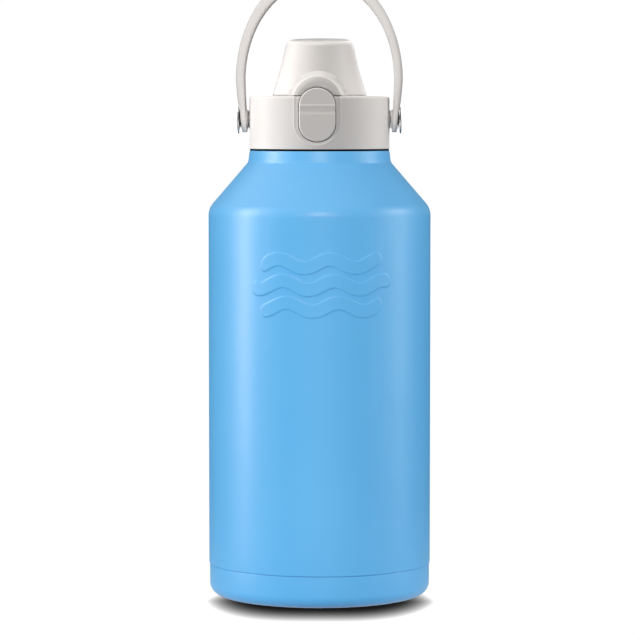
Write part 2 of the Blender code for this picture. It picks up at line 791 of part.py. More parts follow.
def make_spout_seal(finishes):
    flat_z = SPOUT_TOP_Z + FIT
    rim = [(0.0, SEAL_DISC_TOP_Z), (SEAL_DISC_R, SEAL_DISC_TOP_Z), (SEAL_DISC_R, flat_z)]
    shares = [1 - i / 4 for i in range(5)]
    dome = [(SEAL_DOME_R * share, flat_z - SEAL_DOME_DEPTH * (1 - share**2)) for share in shares]
    return turned("spout_seal", rim + dome, finishes["silicone"])


def straight_pin(name, place, radius, half, edge, material):
    """A steel pin along X through (y, z)."""
    outline = rounded([(0.0, -half), (radius, -half, edge), (radius, half, edge), (0.0, half)])
    return turned(name, outline, material, 16, "X", (0.0, *place))


def make_hinge_pin(finishes):
    return straight_pin(
        "hinge_pin", (HINGE_Y, HINGE_Z), HINGE_PIN_R, HINGE_PIN_HALF, HINGE_PIN_R / 4, finishes["steel"],
    )


def coil(turns, radius, length, per_turn, start_angle=0.0):
    """Points of a coil along X, centred on the origin, as (x, y, z)."""
    count = round(turns * per_turn)
    points = []
    for i in range(count + 1):
        angle = start_angle + math.tau * turns * i / count
        points.append((length * (i / count - 0.5), radius * math.cos(angle), radius * math.sin(angle)))
    return points


def make_cap_spring(finishes):
    """A torsion spring: one leg on the notch floor, one under the cap's rim, both pointing forward."""
    turns = coil(SPRING_TURNS, SPRING_MEAN_R, SPRING_LENGTH, COIL_POINTS, -math.pi / 2)
    first, last = turns[0], turns[-1]
    path = [(first[0], -SPRING_LEG, first[2])] + turns + [(last[0], -SPRING_LEG, last[2])]
    path = [(x, HINGE_Y + y, HINGE_Z + z) for x, y, z in path]
    return swept_tube("cap_spring", path, SPRING_WIRE_R, finishes["steel"])


# ---- Release button -----------------------------------------------------------------------------

def make_release_button(finishes):
    loops = []
    depths = ((BUTTON_EDGE, BUTTON_FRONT_Y), (0.0, BUTTON_FRONT_Y + BUTTON_EDGE), (0.0, BUTTON_BACK_Y))
    for inset, y in depths:
        outline = stadium(BUTTON_HALF - inset, BUTTON_BOTTOM_Z + inset, BUTTON_TOP_Z - inset)
        loops.append([(x, y, z) for x, z in outline])
    button = lofted("release_button", loops, finishes["shell"])
    in_front = BUTTON_FRONT_Y - OVERSHOOT
    bottom = BUTTON_FRONT_Y + GROOVE_DEEP
    cut(button, prism("finger_groove", [
        (in_front, GROOVE_TOP_Z),
        (bottom, GROOVE_TOP_Z - GROOVE_LEDGE_SLOPE),
        (bottom, GROOVE_TOP_Z - GROOVE_FLOOR_DROP),
        (BUTTON_FRONT_Y - GROOVE_RUN_OUT, GROOVE_FOOT_Z),
        (in_front, GROOVE_FOOT_Z),
    ], "X", -BUTTON_HALF - 2 * OVERSHOOT, BUTTON_HALF + 2 * OVERSHOOT))
    root_y = BUTTON_BACK_Y - FIT
    for side, sign in (("left", -1), ("right", 1)):
        near, far = sorted((sign * ROCKER_LUG_IN, sign * ROCKER_LUG_OUT))
        join(button, block(
            f"rocker_lug_{side}",
            (near, root_y, BUTTON_AXIS_Z - ROCKER_LUG_HALF),
            (far, BUTTON_AXIS_Y + ROCKER_LUG_BEHIND, BUTTON_AXIS_Z + ROCKER_LUG_HALF),
        ))
    hook_end = (HOOK_HALF, LIP_TIP_Y - FIT, HOOK_TOP_Z)
    join(
        button,
        block("latch_hook", (-HOOK_HALF, HOOK_ROOT_Y, LIP_TOP_Z + FIT), hook_end),
        prism("spring_post", circle((0.0, POST_Z), POST_R, 16), "Y", root_y, POST_END_Y),
    )
    rocker = (BUTTON_AXIS_Y, BUTTON_AXIS_Z)
    reach = ROCKER_LUG_OUT + HOLE_REACH
    cut(button, x_cylinder("rocker_hole", rocker, BUTTON_PIN_R + FIT, -reach, reach, 16))
    return button


def make_button_pin(finishes):
    place = (BUTTON_AXIS_Y, BUTTON_AXIS_Z)
    return straight_pin(
        "button_pin", place, BUTTON_PIN_R, BUTTON_PIN_HALF, BUTTON_PIN_R / 4, finishes["steel"],
    )


def make_button_spring(finishes):
    """A compression spring between the button's back and the threaded insert."""
    front = BUTTON_BACK_Y + 2 * FIT
    middle = (front + BUTTON_SPRING_END_Y) / 2
    turns = coil(BUTTON_SPRING_TURNS, BUTTON_SPRING_R, BUTTON_SPRING_END_Y - front, COIL_POINTS)
    path = [(y, middle + x, POST_Z + z) for x, y, z in turns]
    return swept_tube("button_spring", path, BUTTON_SPRING_WIRE_R, finishes["steel"])


# ---- Carry handle -------------------------------------------------------------------------------

def strap_section(centre, across, thick, width):
    """A rectangle with cut corners: thick lies along across, width along Y."""
    corner = min(HANDLE_EDGE, width / 4)
    half_t, half_w = thick / 2, width / 2
    near_t, near_w = half_t - corner, half_w - corner
    outline = [
        (half_t, near_w), (near_t, half_w), (-near_t, half_w), (-half_t, near_w),
        (-half_t, -near_w), (-near_t, -half_w), (near_t, -half_w), (half_t, -near_w),
    ]
    return [tuple(centre + across * t + Vector((0.0, w, 0.0))) for t, w in outline]


def arm_edges(z):
    """Outer and inner x of the arm below the spring line, where it leans in towards the eye."""
    down = ((HANDLE_SPRING_Z - z) / (HANDLE_SPRING_Z - HANDLE_FOOT_Z)) ** HANDLE_LEAN_POWER
    return HANDLE_OUTER_X - HANDLE_OUTER_LEAN * down, HANDLE_INNER_X - HANDLE_INNER_LEAN * down


def strap_stations():
    """(outer point, inner point, width) from the right eye over the top to the left eye."""
    arm = []
    heights = [PIVOT_Z - EYE_R * math.cos(math.radians(angle)) for angle in (16, 34, 52, 70, 90)]
    heights += [0.2580, 0.2630, 0.2680]
    for z in heights:
        outer, inner = arm_edges(z)
        below = max(0.0, PIVOT_Z - z)
        arm.append(((outer, z), (inner, z), 2 * math.sqrt(EYE_R**2 - below**2)))
    bow = []
    bow_steps = 20
    for i in range(bow_steps + 1):
        angle = math.pi * i / bow_steps
        outer = (HANDLE_OUTER_X * math.cos(angle), HANDLE_SPRING_Z + HANDLE_OUTER_RISE * math.sin(angle))
        inner = (HANDLE_INNER_X * math.cos(angle), HANDLE_SPRING_Z + HANDLE_INNER_RISE * math.sin(angle))
        bow.append((outer, inner, HANDLE_WIDTH))
    left = [((-outer[0], outer[1]), (-inner[0], inner[1]), width) for outer, inner, width in reversed(arm)]
    return arm + bow + left


def make_handle_strap(finishes):
    loops = []
    for outer, inner, width in strap_stations():
        outer, inner = Vector((outer[0], 0.0, outer[1])), Vector((inner[0], 0.0, inner[1]))
        across = outer - inner
        loops.append(strap_section((outer + inner) / 2, across.normalized(), across.length, width))
    strap = lofted("handle_strap", loops, finishes["shell"])
    pivot = (0.0, PIVOT_Z)
    for side, sign in (("left", -1), ("right", 1)):
        pad_in, pad_out = sign * (BOSS_END_X + FIT), sign * (SPOT_FACE_X - SPOT_FACE_DEEP)
        join(strap, x_cylinder(f"eye_pad_{side}", pivot, PAD_R, pad_in, pad_out))
    for side, sign in (("left", -1), ("right", 1)):
        hole_in, hole_out = sign * (BOSS_END_X - 5 * OVERSHOOT), sign * (FAR + OVERSHOOT)
        cut(
            strap,
            x_cylinder(f"spot_face_{side}", pivot, SPOT_FACE_R, sign * SPOT_FACE_X, sign * FAR, 32),
            x_cylinder(f"eye_hole_{side}", pivot, EYE_HOLE_R, hole_in, hole_out),
        )
    return strap


def make_rivet(name, axis, finishes):
    """A domed head with its shank, along the handle's axis. Places are distances from the jug's centre."""
    rim_x = HEAD_RIM_X + HEAD_RIM_THICK
    quarter = arc_points((0.0, 0.0), 1.0, 90, 0, 5)
    dome = [(HEAD_R * out, rim_x + (HEAD_END_X - rim_x) * up) for out, up in quarter]
    shank = [(HEAD_R, HEAD_RIM_X), (SHANK_R, HEAD_RIM_X), (SHANK_R, SHANK_END_X), (0.0, SHANK_END_X)]
    return turned(name, dome + shank, finishes["steel"], SMALL_SEGMENTS, axis, (0.0, 0.0, PIVOT_Z))


def make_bush(name, axis, finishes):
    head_x, boss_x = HEAD_RIM_X - FIT, BOSS_END_X + FIT
    outline = [
        (SHANK_R + FIT, head_x),
        (BUSH_FLANGE_R, head_x),
        (BUSH_FLANGE_R, SPOT_FACE_X),
        (BUSH_R, SPOT_FACE_X),
        (BUSH_R, boss_x),
        (SHANK_R + FIT, boss_x),
    ]
    return turned(name, outline, finishes["nylon"], SMALL_SEGMENTS, axis, (0.0, 0.0, PIVOT_Z))


# ---- Assembly -----------------------------------------------------------------------------------

def clear_scene():
    for obj in list(bpy.data.objects):
        bpy.data.objects.remove(obj)


def build():
    clear_scene()
    finishes = make_finishes()
    make_outer_shell(finishes)
    make_base_cup(finishes)
    make_base_disc(finishes)
    make_vacuum_seal(finishes)
    make_vacuum_getter(finishes)
    make_inner_liner(finishes)

    lid_axis = axis_empty("lid_axis", (0.0, 0.0, LID_BOTTOM_Z))
    cap_axis = axis_empty("cap_axis", (0.0, HINGE_Y, HINGE_Z))
    button_axis = axis_empty("button_axis", (0.0, BUTTON_AXIS_Y, BUTTON_AXIS_Z))
    handle_axis = axis_empty("handle_axis", (0.0, 0.0, PIVOT_Z))
    hang(lid_axis, cap_axis, button_axis, handle_axis)
    hang(lid_axis, *make_seals(finishes), make_lid_collar(finishes), make_lid_insert(finishes))
    hang(lid_axis, make_hinge_pin(finishes), make_cap_spring(finishes))
    hang(lid_axis, make_button_pin(finishes), make_button_spring(finishes))
    for side, axis in (("left", "-X"), ("right", "X")):
        rivet = make_rivet(f"handle_rivet_{side}", axis, finishes)
        bush = make_bush(f"handle_bush_{side}", axis, finishes)
        hang(lid_axis, rivet, bush)
    hang(cap_axis, make_flip_cap(finishes), make_cap_liner(finishes), make_spout_seal(finishes))
    hang(button_axis, make_release_button(finishes))
    hang(handle_axis, make_handle_strap(finishes))


build()
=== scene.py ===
"""The looks of the insulated water jug: fine meshes, finishes, studio and camera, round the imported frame.

Units are metres, +Z is up and the front is -Y. The main sizes are read from the frame. Each piece is built in
place, in the frame's own coordinates, and then rides on its body.
"""
import json
import math

import bmesh
import bpy
import numpy as np
from mathutils import Matrix, Vector

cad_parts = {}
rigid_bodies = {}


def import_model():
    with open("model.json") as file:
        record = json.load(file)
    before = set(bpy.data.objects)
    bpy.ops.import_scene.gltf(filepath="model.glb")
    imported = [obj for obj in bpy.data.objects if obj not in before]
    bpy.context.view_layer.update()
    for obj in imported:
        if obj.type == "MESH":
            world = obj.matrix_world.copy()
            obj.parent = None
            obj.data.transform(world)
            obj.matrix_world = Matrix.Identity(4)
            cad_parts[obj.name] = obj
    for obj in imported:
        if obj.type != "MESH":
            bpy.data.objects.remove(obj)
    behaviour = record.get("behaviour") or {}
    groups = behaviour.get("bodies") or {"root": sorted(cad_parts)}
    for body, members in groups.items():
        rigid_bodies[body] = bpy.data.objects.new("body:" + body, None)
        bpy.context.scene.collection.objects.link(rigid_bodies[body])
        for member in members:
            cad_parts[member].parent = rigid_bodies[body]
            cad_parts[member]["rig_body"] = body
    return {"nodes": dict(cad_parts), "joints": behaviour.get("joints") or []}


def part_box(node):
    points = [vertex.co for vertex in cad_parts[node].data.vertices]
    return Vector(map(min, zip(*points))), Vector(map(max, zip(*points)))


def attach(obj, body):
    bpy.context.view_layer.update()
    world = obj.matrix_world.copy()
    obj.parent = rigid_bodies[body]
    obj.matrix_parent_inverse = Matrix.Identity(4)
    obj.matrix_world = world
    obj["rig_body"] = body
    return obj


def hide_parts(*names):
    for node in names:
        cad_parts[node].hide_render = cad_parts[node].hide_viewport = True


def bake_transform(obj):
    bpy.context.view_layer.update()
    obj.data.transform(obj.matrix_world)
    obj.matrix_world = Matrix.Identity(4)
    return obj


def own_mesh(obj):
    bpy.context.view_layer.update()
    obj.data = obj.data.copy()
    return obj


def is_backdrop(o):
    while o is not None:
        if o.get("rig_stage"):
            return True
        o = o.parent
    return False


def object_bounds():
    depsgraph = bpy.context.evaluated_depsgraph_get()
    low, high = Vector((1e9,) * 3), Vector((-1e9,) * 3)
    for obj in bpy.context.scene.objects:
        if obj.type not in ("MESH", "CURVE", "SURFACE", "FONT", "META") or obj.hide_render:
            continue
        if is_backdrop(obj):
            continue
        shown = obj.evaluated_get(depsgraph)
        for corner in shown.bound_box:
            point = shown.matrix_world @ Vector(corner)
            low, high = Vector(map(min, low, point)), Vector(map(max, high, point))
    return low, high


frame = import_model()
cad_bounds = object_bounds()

# ---- Sizes, from the frame ----

JOINTS = {joint["name"]: joint for joint in frame["joints"]}


def low(node):
    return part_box(node)[0]


def high(node):
    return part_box(node)[1]


def round_size(node):
    """Radius, or half the width, and bottom and top."""
    return high(node).x, low(node).z, high(node).z


BODY_R, SHELL_BOTTOM_Z, NECK_TOP_Z = round_size("outer_shell")
SEAM_Z = SHELL_BOTTOM_Z - 0.00015
BASE_R = high("base_cup").x
LINER_R, LINER_BOTTOM_Z, LIP_Z = round_size("inner_liner")
NECK_R = high("lid_collar").y
BOSS_END_X, LID_BOTTOM_Z, BOSS_Z = round_size("lid_collar")
DECK_Z = BOSS_Z - 0.0007
INSERT_R = high("lid_insert").x
SPOUT_TOP_Z = high("lid_insert").z
CAP_RIM_R = high("flip_cap").x
CAP_RIM_Z = DECK_Z + 0.0002
HOOD_REACH = -low("flip_cap").y
BUTTON_HALF, BUTTON_BOTTOM_Z, BUTTON_TOP_Z = round_size("release_button")
BUTTON_FRONT_Y = low("release_button").y
BUTTON_BACK_Y = BUTTON_FRONT_Y + 0.0022
HANDLE_OUTER_X = high("handle_strap").x
HANDLE_TOP_Z = high("handle_strap").z
HANDLE_WIDTH = 2 * high("handle_strap").y
HEAD_R = high("handle_rivet_right").y
HEAD_END_X = high("handle_rivet_right").x
HINGE_Y, HINGE_Z = JOINTS["cap_flip"]["pos_m"][1:]
ROCKER_Y, ROCKER_Z = JOINTS["button_press"]["pos_m"][1:]
PIVOT_Z = JOINTS["handle_swing"]["pos_m"][2]

# ---- Sizes that several pieces share ----

THREAD_LEAD = 0.0080
THREAD_FIRST_Z = 0.2400
THREAD_TURNS = 0.75
MOUTH_R = 0.0276
MOUTH_BORE_R = 0.0260
HINGE_PIN_R = 0.0012
BUTTON_PIN_R = 0.0009
SHANK_R = 0.0020
GAP = 0.0003
FAR = 0.060

# ---- Outlines ----


def arc_points(centre, radius, start, end, steps):
    """Points on an arc, angles in degrees, both ends included."""
    angles = np.radians(np.linspace(start, end, steps + 1))
    return [(centre[0] + radius * math.cos(a), centre[1] + radius * math.sin(a)) for a in angles]


def rounded(corners, steps=8):
    """A closed outline. A corner is (u, v), or (u, v, radius) where it is rounded."""
    outline = []
    for i, corner in enumerate(corners):
        here = Vector(corner[:2])
        if len(corner) == 2:
            outline.append(tuple(here))
            continue
        to_last = (Vector(corners[i - 1][:2]) - here).normalized()
        to_next = (Vector(corners[(i + 1) % len(corners)][:2]) - here).normalized()
        half = to_last.angle(to_next) / 2
        centre = here + (to_last + to_next).normalized() * corner[2] / math.sin(half)
        first = here + to_last * corner[2] / math.tan(half) - centre
        turn = first.angle_signed(here + to_next * corner[2] / math.tan(half) - centre)
        for k in range(steps + 1):
            outline.append(tuple(centre + Matrix.Rotation(-turn * k / steps, 2) @ first))
    return outline


def dense(outline, step, wanted=lambda a, b: True):
    """Adds points along the sides that wanted() picks, so that no piece of them is longer than step."""
    result = []
    for i, here in enumerate(outline):
        there = outline[(i + 1) % len(outline)]
        result.append(here)
        length = math.dist(here, there)
        if length > step and wanted(here, there):
            count = math.ceil(length / step)
            result += [tuple(np.array(here) + (np.array(there) - here) * k / count) for k in range(1, count)]
    return result


def stadium(half, bottom, top, steps=32):
    upper = arc_points((0.0, top - half), half, 0, 180, steps)
    return upper + arc_points((0.0, bottom + half), half, 180, 360, steps)


def stadium_distance(x, z, half, bottom, top):
    """Distance outside the stadium's edge, less than zero inside it."""
    nearest = np.clip(z, bottom + half, top - half)
    return np.hypot(x, z - nearest) - half


def smooth_step(value):
    value = np.clip(value, 0.0, 1.0)
    return value * value * (3 - 2 * value)


# ---- Meshes ----


def add_mesh(name, points, faces, sharp=35):
    mesh = bpy.data.meshes.new(name)
    mesh.from_pydata([tuple(p) for p in points], [], faces)
    bm = bmesh.new()
    bm.from_mesh(mesh)
    bmesh.ops.remove_doubles(bm, verts=bm.verts, dist=1e-7)
    bmesh.ops.recalc_face_normals(bm, faces=bm.faces)
    bm.to_mesh(mesh)
    bm.free()
    mesh.shade_smooth()
    mesh.set_sharp_from_angle(angle=math.radians(sharp))
    obj = bpy.data.objects.new(name, mesh)
    bpy.context.scene.collection.objects.link(obj)
    return obj


def skin(name, rings, ends, sharp=35):
    """A skin over closed rings, an array of (ring, point, xyz). ends: "caps", "last" or "loop"."""
    rings = np.asarray(rings, float)
    count, size = rings.shape[:2]
    index = np.arange(count * size).reshape(count, size)
    faces = []
    last = count if ends == "loop" else count - 1
    for i in range(last):
        here, there = index[i], index[(i + 1) % count]
        faces += np.stack([here, np.roll(here, -1), np.roll(there, -1), there], axis=1).tolist()
    if ends == "caps":
        faces.append(index[0].tolist()[::-1])
    if ends != "loop":
        faces.append(index[-1].tolist())
    return add_mesh(name, rings.reshape(-1, 3), faces, sharp)


def even_turn(count):
    return np.arange(count) * math.tau / count


def dense_front(count, half_degrees, front_step):
    """Angles all the way round with close spacing about the front (-Y)."""
    half = math.radians(half_degrees)
    front = -math.pi / 2 + np.linspace(-half, half, 2 * math.ceil(half / math.radians(front_step)) + 1)
    rest = np.linspace(front[-1], front[0] + math.tau, count)[1:-1]
    return np.concatenate([front, rest])


def turned(name, outline, angles=None, axis="Z", centre=(0.0, 0.0, 0.0), shape=None, sharp=35):
    """A closed outline of (radius, place along the axis), turned. shape() may move the points afterwards."""
    angles = even_turn(160) if angles is None else angles
    outline = np.array(outline)
    r, along = outline[:, 0], outline[:, 1]
    x = np.cos(angles)[:, None] * r
    y = np.sin(angles)[:, None] * r
    z = np.broadcast_to(along, x.shape)
    rings = np.stack([x, y, z], axis=2)
    if shape:
        rings = shape(rings)
    if axis == "X":
        rings = rings[:, :, [2, 1, 0]] * [1, 1, -1]
    if axis == "-X":
        rings = rings[:, :, [2, 1, 0]] * [-1, 1, 1]
    return skin(name, rings + np.array(centre), "loop", sharp)


def prism(name, outline, along, start, end, sharp=35):
    """An outline extruded: (x, z) along Y, (y, z) along X, or (x, y) along Z."""
    order = {"X": [2, 0, 1], "Y": [0, 2, 1], "Z": [0, 1, 2]}[along]
    outline = np.array(outline)
    rings = [np.column_stack([outline, np.full(len(outline), depth)])[:, order] for depth in (start, end)]
    return skin(name, rings, "caps", sharp)


def block(name, lowest, highest):
    outline = [
        (lowest[0], lowest[1]), (highest[0], lowest[1]), (highest[0], highest[1]), (lowest[0], highest[1]),
    ]
    return prism(name, outline, "Z", lowest[2], highest[2])


def across_middle(name, half_x, y_range, z_range):
    """A block from -half_x to half_x."""
    return block(name, (-half_x, y_range[0], z_range[0]), (half_x, y_range[1], z_range[1]))


def both_sides(name, make, near_x, far_x):
    """What make(name, start, end) builds, on the left and on the right."""
    return [make(f"{name}_left", -far_x, -near_x), make(f"{name}_right", near_x, far_x)]


def x_cylinder(name, place, radius, start, end, steps=64):
    return prism(name, arc_points(place, radius, 0, 360, steps)[:-1], "X", start, end)


def combine(target, tools, operation, sharp=35):
    """Booleans that are applied at once. The tools are used up."""
    for tool in tools:
        modifier = target.modifiers.new(tool.name, "BOOLEAN")
        modifier.operation = operation
        modifier.solver = "EXACT"
        modifier.object = tool
    bpy.context.view_layer.update()
    graph = bpy.context.evaluated_depsgraph_get()
    mesh = bpy.data.meshes.new_from_object(target.evaluated_get(graph))
    target.modifiers.clear()
    target.data = mesh
    mesh.shade_smooth()
    mesh.set_sharp_from_angle(angle=math.radians(sharp))
    for tool in tools:
        bpy.data.objects.remove(tool)
    return target


def join(target, *tools):
    return combine(target, tools, "UNION")


def cut(target, *tools):
    return combine(target, tools, "DIFFERENCE")


def coil(turns, radius, length, per_turn, start_angle=0.0):
    """Points of a coil along X, centred on the origin."""
    count = round(turns * per_turn)
    t = np.arange(count + 1) / count
    angle = start_angle + math.tau * turns * t
    return np.column_stack([length * (t - 0.5), radius * np.cos(angle), radius * np.sin(angle)])


def wire(name, path, radius, sides=12):
    """A round wire along a path, its section carried without twist."""
    path = np.array(path)
    tangents = np.gradient(path, axis=0)
    tangents /= np.linalg.norm(tangents, axis=1)[:, None]
    normal = np.cross(tangents[0], [0.31, 0.17, 0.93])
    rings = []
    for point, tangent in zip(path, tangents):
        normal = normal - tangent * np.dot(normal, tangent)
        normal /= np.linalg.norm(normal)
        side = np.cross(tangent, normal)
        angles = even_turn(sides)[:, None]
        rings.append(point + radius * (np.cos(angles) * normal + np.sin(angles) * side))
    return skin(name, rings, "caps", 50)


# ---- Finishes ----


def add_node(tree, kind, inputs, **values):
    """A new node. inputs maps its sockets to plain values, or to outputs that are linked to them."""
    node = tree.nodes.new(kind)
    for key, value in values.items():
        setattr(node, key, value)
    for socket, value in inputs.items():
        if isinstance(value, bpy.types.NodeSocket):
            tree.links.new(value, node.inputs[socket])
        else:
            node.inputs[socket].default_value = value
    return node


class Finish:
    """A Principled material with helpers for the nodes that give it its colour and grain."""

    def __init__(self, name, metallic=0.0):
        self.material = bpy.data.materials.new(name)
        self.material.use_nodes = True
        self.tree = self.material.node_tree
        self.shader = self.tree.nodes["Principled BSDF"]
        self.set("Metallic", metallic)
        self.where = self.add("ShaderNodeTexCoord", {}).outputs["Object"]

    def add(self, kind, inputs, **values):
        return add_node(self.tree, kind, inputs, **values)

    def set(self, socket, value):
        self.shader.inputs[socket].default_value = value

    def link(self, output, socket):
        self.tree.links.new(output, self.shader.inputs[socket])

    def maths(self, operation, first, second=0.0, clamp=False):
        """The result of an operation on two numbers or outputs."""
        inputs = {0: first, 1: second}
        return self.add("ShaderNodeMath", inputs, operation=operation, use_clamp=clamp).outputs[0]

    def axes(self, vector):
        """The X, Y and Z outputs of a vector."""
        return self.add("ShaderNodeSeparateXYZ", {0: vector}).outputs

    def noise(self, scale, detail=2.0, stretch=None, roughness=0.5):
        """Noise in the piece's own metres. stretch scales the coordinates along x, y and z."""
        where = self.where
        if stretch:
            where = self.add("ShaderNodeMapping", {"Scale": stretch, "Vector": where}).outputs["Vector"]
        inputs = {"Scale": scale, "Detail": detail, "Roughness": roughness, "Vector": where}
        return self.add("ShaderNodeTexNoise", inputs).outputs["Fac"]

    def spread(self, value, lowest, highest):
        """value, which lies about 0.5, mapped to lowest..highest."""
        inputs = {"Value": value, "From Min": 0.25, "From Max": 0.75, "To Min": lowest, "To Max": highest}
        return self.add("ShaderNodeMapRange", inputs).outputs["Result"]

    def tint(self, value, first, second):
        """Base colour between two colours, by value."""
        inputs = {0: self.spread(value, 0.0, 1.0), 6: (*first, 1.0), 7: (*second, 1.0)}
        self.link(self.add("ShaderNodeMix", inputs, data_type="RGBA").outputs[2], "Base Color")

    def roughen(self, value, lowest, highest):
        self.link(self.spread(value, lowest, highest), "Roughness")

    def bump(self, heights, edge_radius=0.0):
        """Bumps from (value, depth in metres) pairs, over softly rounded edges."""
        normal = {}
        if edge_radius:
            bevel = self.add("ShaderNodeBevel", {"Radius": edge_radius}, samples=4)
            normal = {"Normal": bevel.outputs["Normal"]}
        for value, depth in heights:
            inputs = {"Distance": depth, "Strength": 1.0, "Height": value, **normal}
            normal = {"Normal": self.add("ShaderNodeBump", inputs).outputs["Normal"]}
        self.link(normal["Normal"], "Normal")

    def grain(self, value, roughness, depth, edge_radius=0.0):
        """The same value in the roughness, given as lowest and highest, and in the bumps."""
        self.roughen(value, *roughness)
        self.bump([(value, depth)], edge_radius)

    def soft(self, weight, radius):
        """Light that sinks in and comes out again a little way off."""
        self.set("Subsurface Weight", weight)
        self.set("Subsurface Radius", radius)
        self.set("Subsurface Scale", 0.002)


def powder_coat():
    finish = Finish("powder_coat_blue")
    finish.tint(finish.noise(28.0, 3.0), (0.090, 0.415, 0.780), (0.100, 0.435, 0.800))
    grain = finish.noise(1500.0, 3.0, roughness=0.6)
    finish.roughen(grain, 0.36, 0.50)
    finish.bump([(finish.noise(520.0), 0.00003), (grain, 0.00002)])
    finish.set("Coat Weight", 0.12)
    finish.set("Coat Roughness", 0.30)
    return finish.material


def lid_plastic():
    finish = Finish("lid_plastic_off_white")
    finish.tint(finish.noise(60.0), (0.620, 0.594, 0.574), (0.638, 0.612, 0.592))
    grain = finish.noise(2600.0)
    finish.roughen(grain, 0.34, 0.46)
    finish.bump([(finish.noise(420.0), 0.000012), (grain, 0.000008)], 0.00022)
    finish.soft(0.08, (0.6, 0.5, 0.4))
    return finish.material


def inner_plastic():
    finish = Finish("inner_plastic_grey")
    finish.tint(finish.noise(90.0), (0.38, 0.38, 0.385), (0.44, 0.44, 0.44))
    finish.grain(finish.noise(2200.0), (0.36, 0.50), 0.00001, 0.0002)
    return finish.material


def brushed_steel(name, stretch):
    """Steel with fine lines. The stretch is small along the brushing and large across it."""
    finish = Finish(name, metallic=1.0)
    lines = finish.noise(900.0, 3.0, stretch)
    finish.tint(lines, (0.50, 0.49, 0.48), (0.62, 0.61, 0.60))
    finish.grain(lines, (0.20, 0.36), 0.000006, 0.00015)
    return finish.material


def turned_steel():
    """Steel with concentric lines about the handle's axis, for the pivot heads."""
    finish = Finish("turned_steel_heads", metallic=1.0)
    finish.set("Base Color", (0.50, 0.49, 0.48, 1.0))
    place = finish.axes(finish.where)
    up = finish.maths("SUBTRACT", place["Z"], PIVOT_Z)
    from_axis = finish.add("ShaderNodeCombineXYZ", {0: place["Y"], 1: up}).outputs[0]
    reach = finish.add("ShaderNodeVectorMath", {0: from_axis}, operation="LENGTH").outputs["Value"]
    inputs = {"Scale": 5200.0, "Detail": 2.0, "W": reach}
    rings = finish.add("ShaderNodeTexNoise", inputs, noise_dimensions="1D")
    finish.grain(rings.outputs["Fac"], (0.30, 0.42), 0.000004)
    return finish.material


def black_rubber():
    finish = Finish("black_rubber")
    finish.set("Specular IOR Level", 0.12)
    grain = finish.noise(1800.0)
    finish.tint(grain, (0.005, 0.005, 0.005), (0.009, 0.009, 0.009))
    finish.grain(grain, (0.48, 0.66), 0.00001)
    return finish.material


def silicone():
    finish = Finish("milky_silicone")
    finish.tint(finish.noise(150.0), (0.62, 0.64, 0.66), (0.70, 0.72, 0.74))
    finish.roughen(finish.noise(1200.0), 0.34, 0.50)
    finish.soft(0.35, (1.0, 0.9, 0.8))
    finish.bump([(finish.noise(900.0), 0.00001)], 0.0002)
    return finish.material


def dark_nylon():
    finish = Finish("dark_nylon")
    grain = finish.noise(2400.0)
    finish.tint(grain, (0.028, 0.025, 0.023), (0.045, 0.040, 0.036))
    finish.grain(grain, (0.40, 0.58), 0.00001)
    return finish.material


def seal_glass():
    finish = Finish("seal_glass")
    finish.tint(finish.noise(500.0), (0.20, 0.17, 0.14), (0.30, 0.27, 0.22))
    finish.roughen(finish.noise(800.0), 0.10, 0.25)
    return finish.material


def getter_metal():
    finish = Finish("getter_metal", metallic=1.0)
    grain = finish.noise(1500.0, 4.0)
    finish.tint(grain, (0.12, 0.12, 0.125), (0.25, 0.25, 0.26))
    finish.grain(grain, (0.55, 0.85), 0.00004)
    return finish.material


FINISHES = {
    "powder_coat": powder_coat(),
    "lid_plastic": lid_plastic(),
    "inner_plastic": inner_plastic(),
    "liner_steel": brushed_steel("brushed_steel_liner", (0.04, 0.04, 1.0)),
    "flat_steel": brushed_steel("brushed_steel_flat", (1.0, 0.03, 1.0)),
    "pin_steel": brushed_steel("brushed_steel_pins", (0.2, 1.0, 1.0)),
    "head_steel": turned_steel(),
    "black_rubber": black_rubber(),
    "silicone": silicone(),
    "nylon": dark_nylon(),
    "seal_glass": seal_glass(),
    "getter_metal": getter_metal(),
}
STEEL_SLOT = "bare_steel"
SLOTS = dict.fromkeys(("liner_steel", "flat_steel", "pin_steel", "head_steel"), STEEL_SLOT)


def dress(piece, finish, body, *nodes):
    """Gives a piece its finish, stands it for its CAD nodes and lets it ride on its body."""
    piece.data.materials.clear()
    piece.data.materials.append(FINISHES[finish])
    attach(piece, body)
    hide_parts(*nodes)
    SLOTS.get(finish, finish)


def dress_node(node, finish):
    """A CAD node that stays as it is and only gets its finish."""
    obj = frame["nodes"][node]
    obj.data.materials.clear()
    obj.data.materials.append(FINISHES[finish])


# ---- Insulated body ----

WALL = 0.0009
SEAM_HALF = 0.00003
SHOULDER_Z = 0.2060
SHOULDER_CORNER_R = 0.0100
LINER_SHOULDER_Z = 0.2010
NECK_FOOT_Z = 0.2305
MOTIF_S = 0.0030
MOTIF_Z = 0.1680
MOTIF_HALF_LENGTH = 0.0385
MOTIF_HALF_HEIGHT = 0.0190
MOTIF_PITCH = 0.0112
MOTIF_RISE = 0.00070


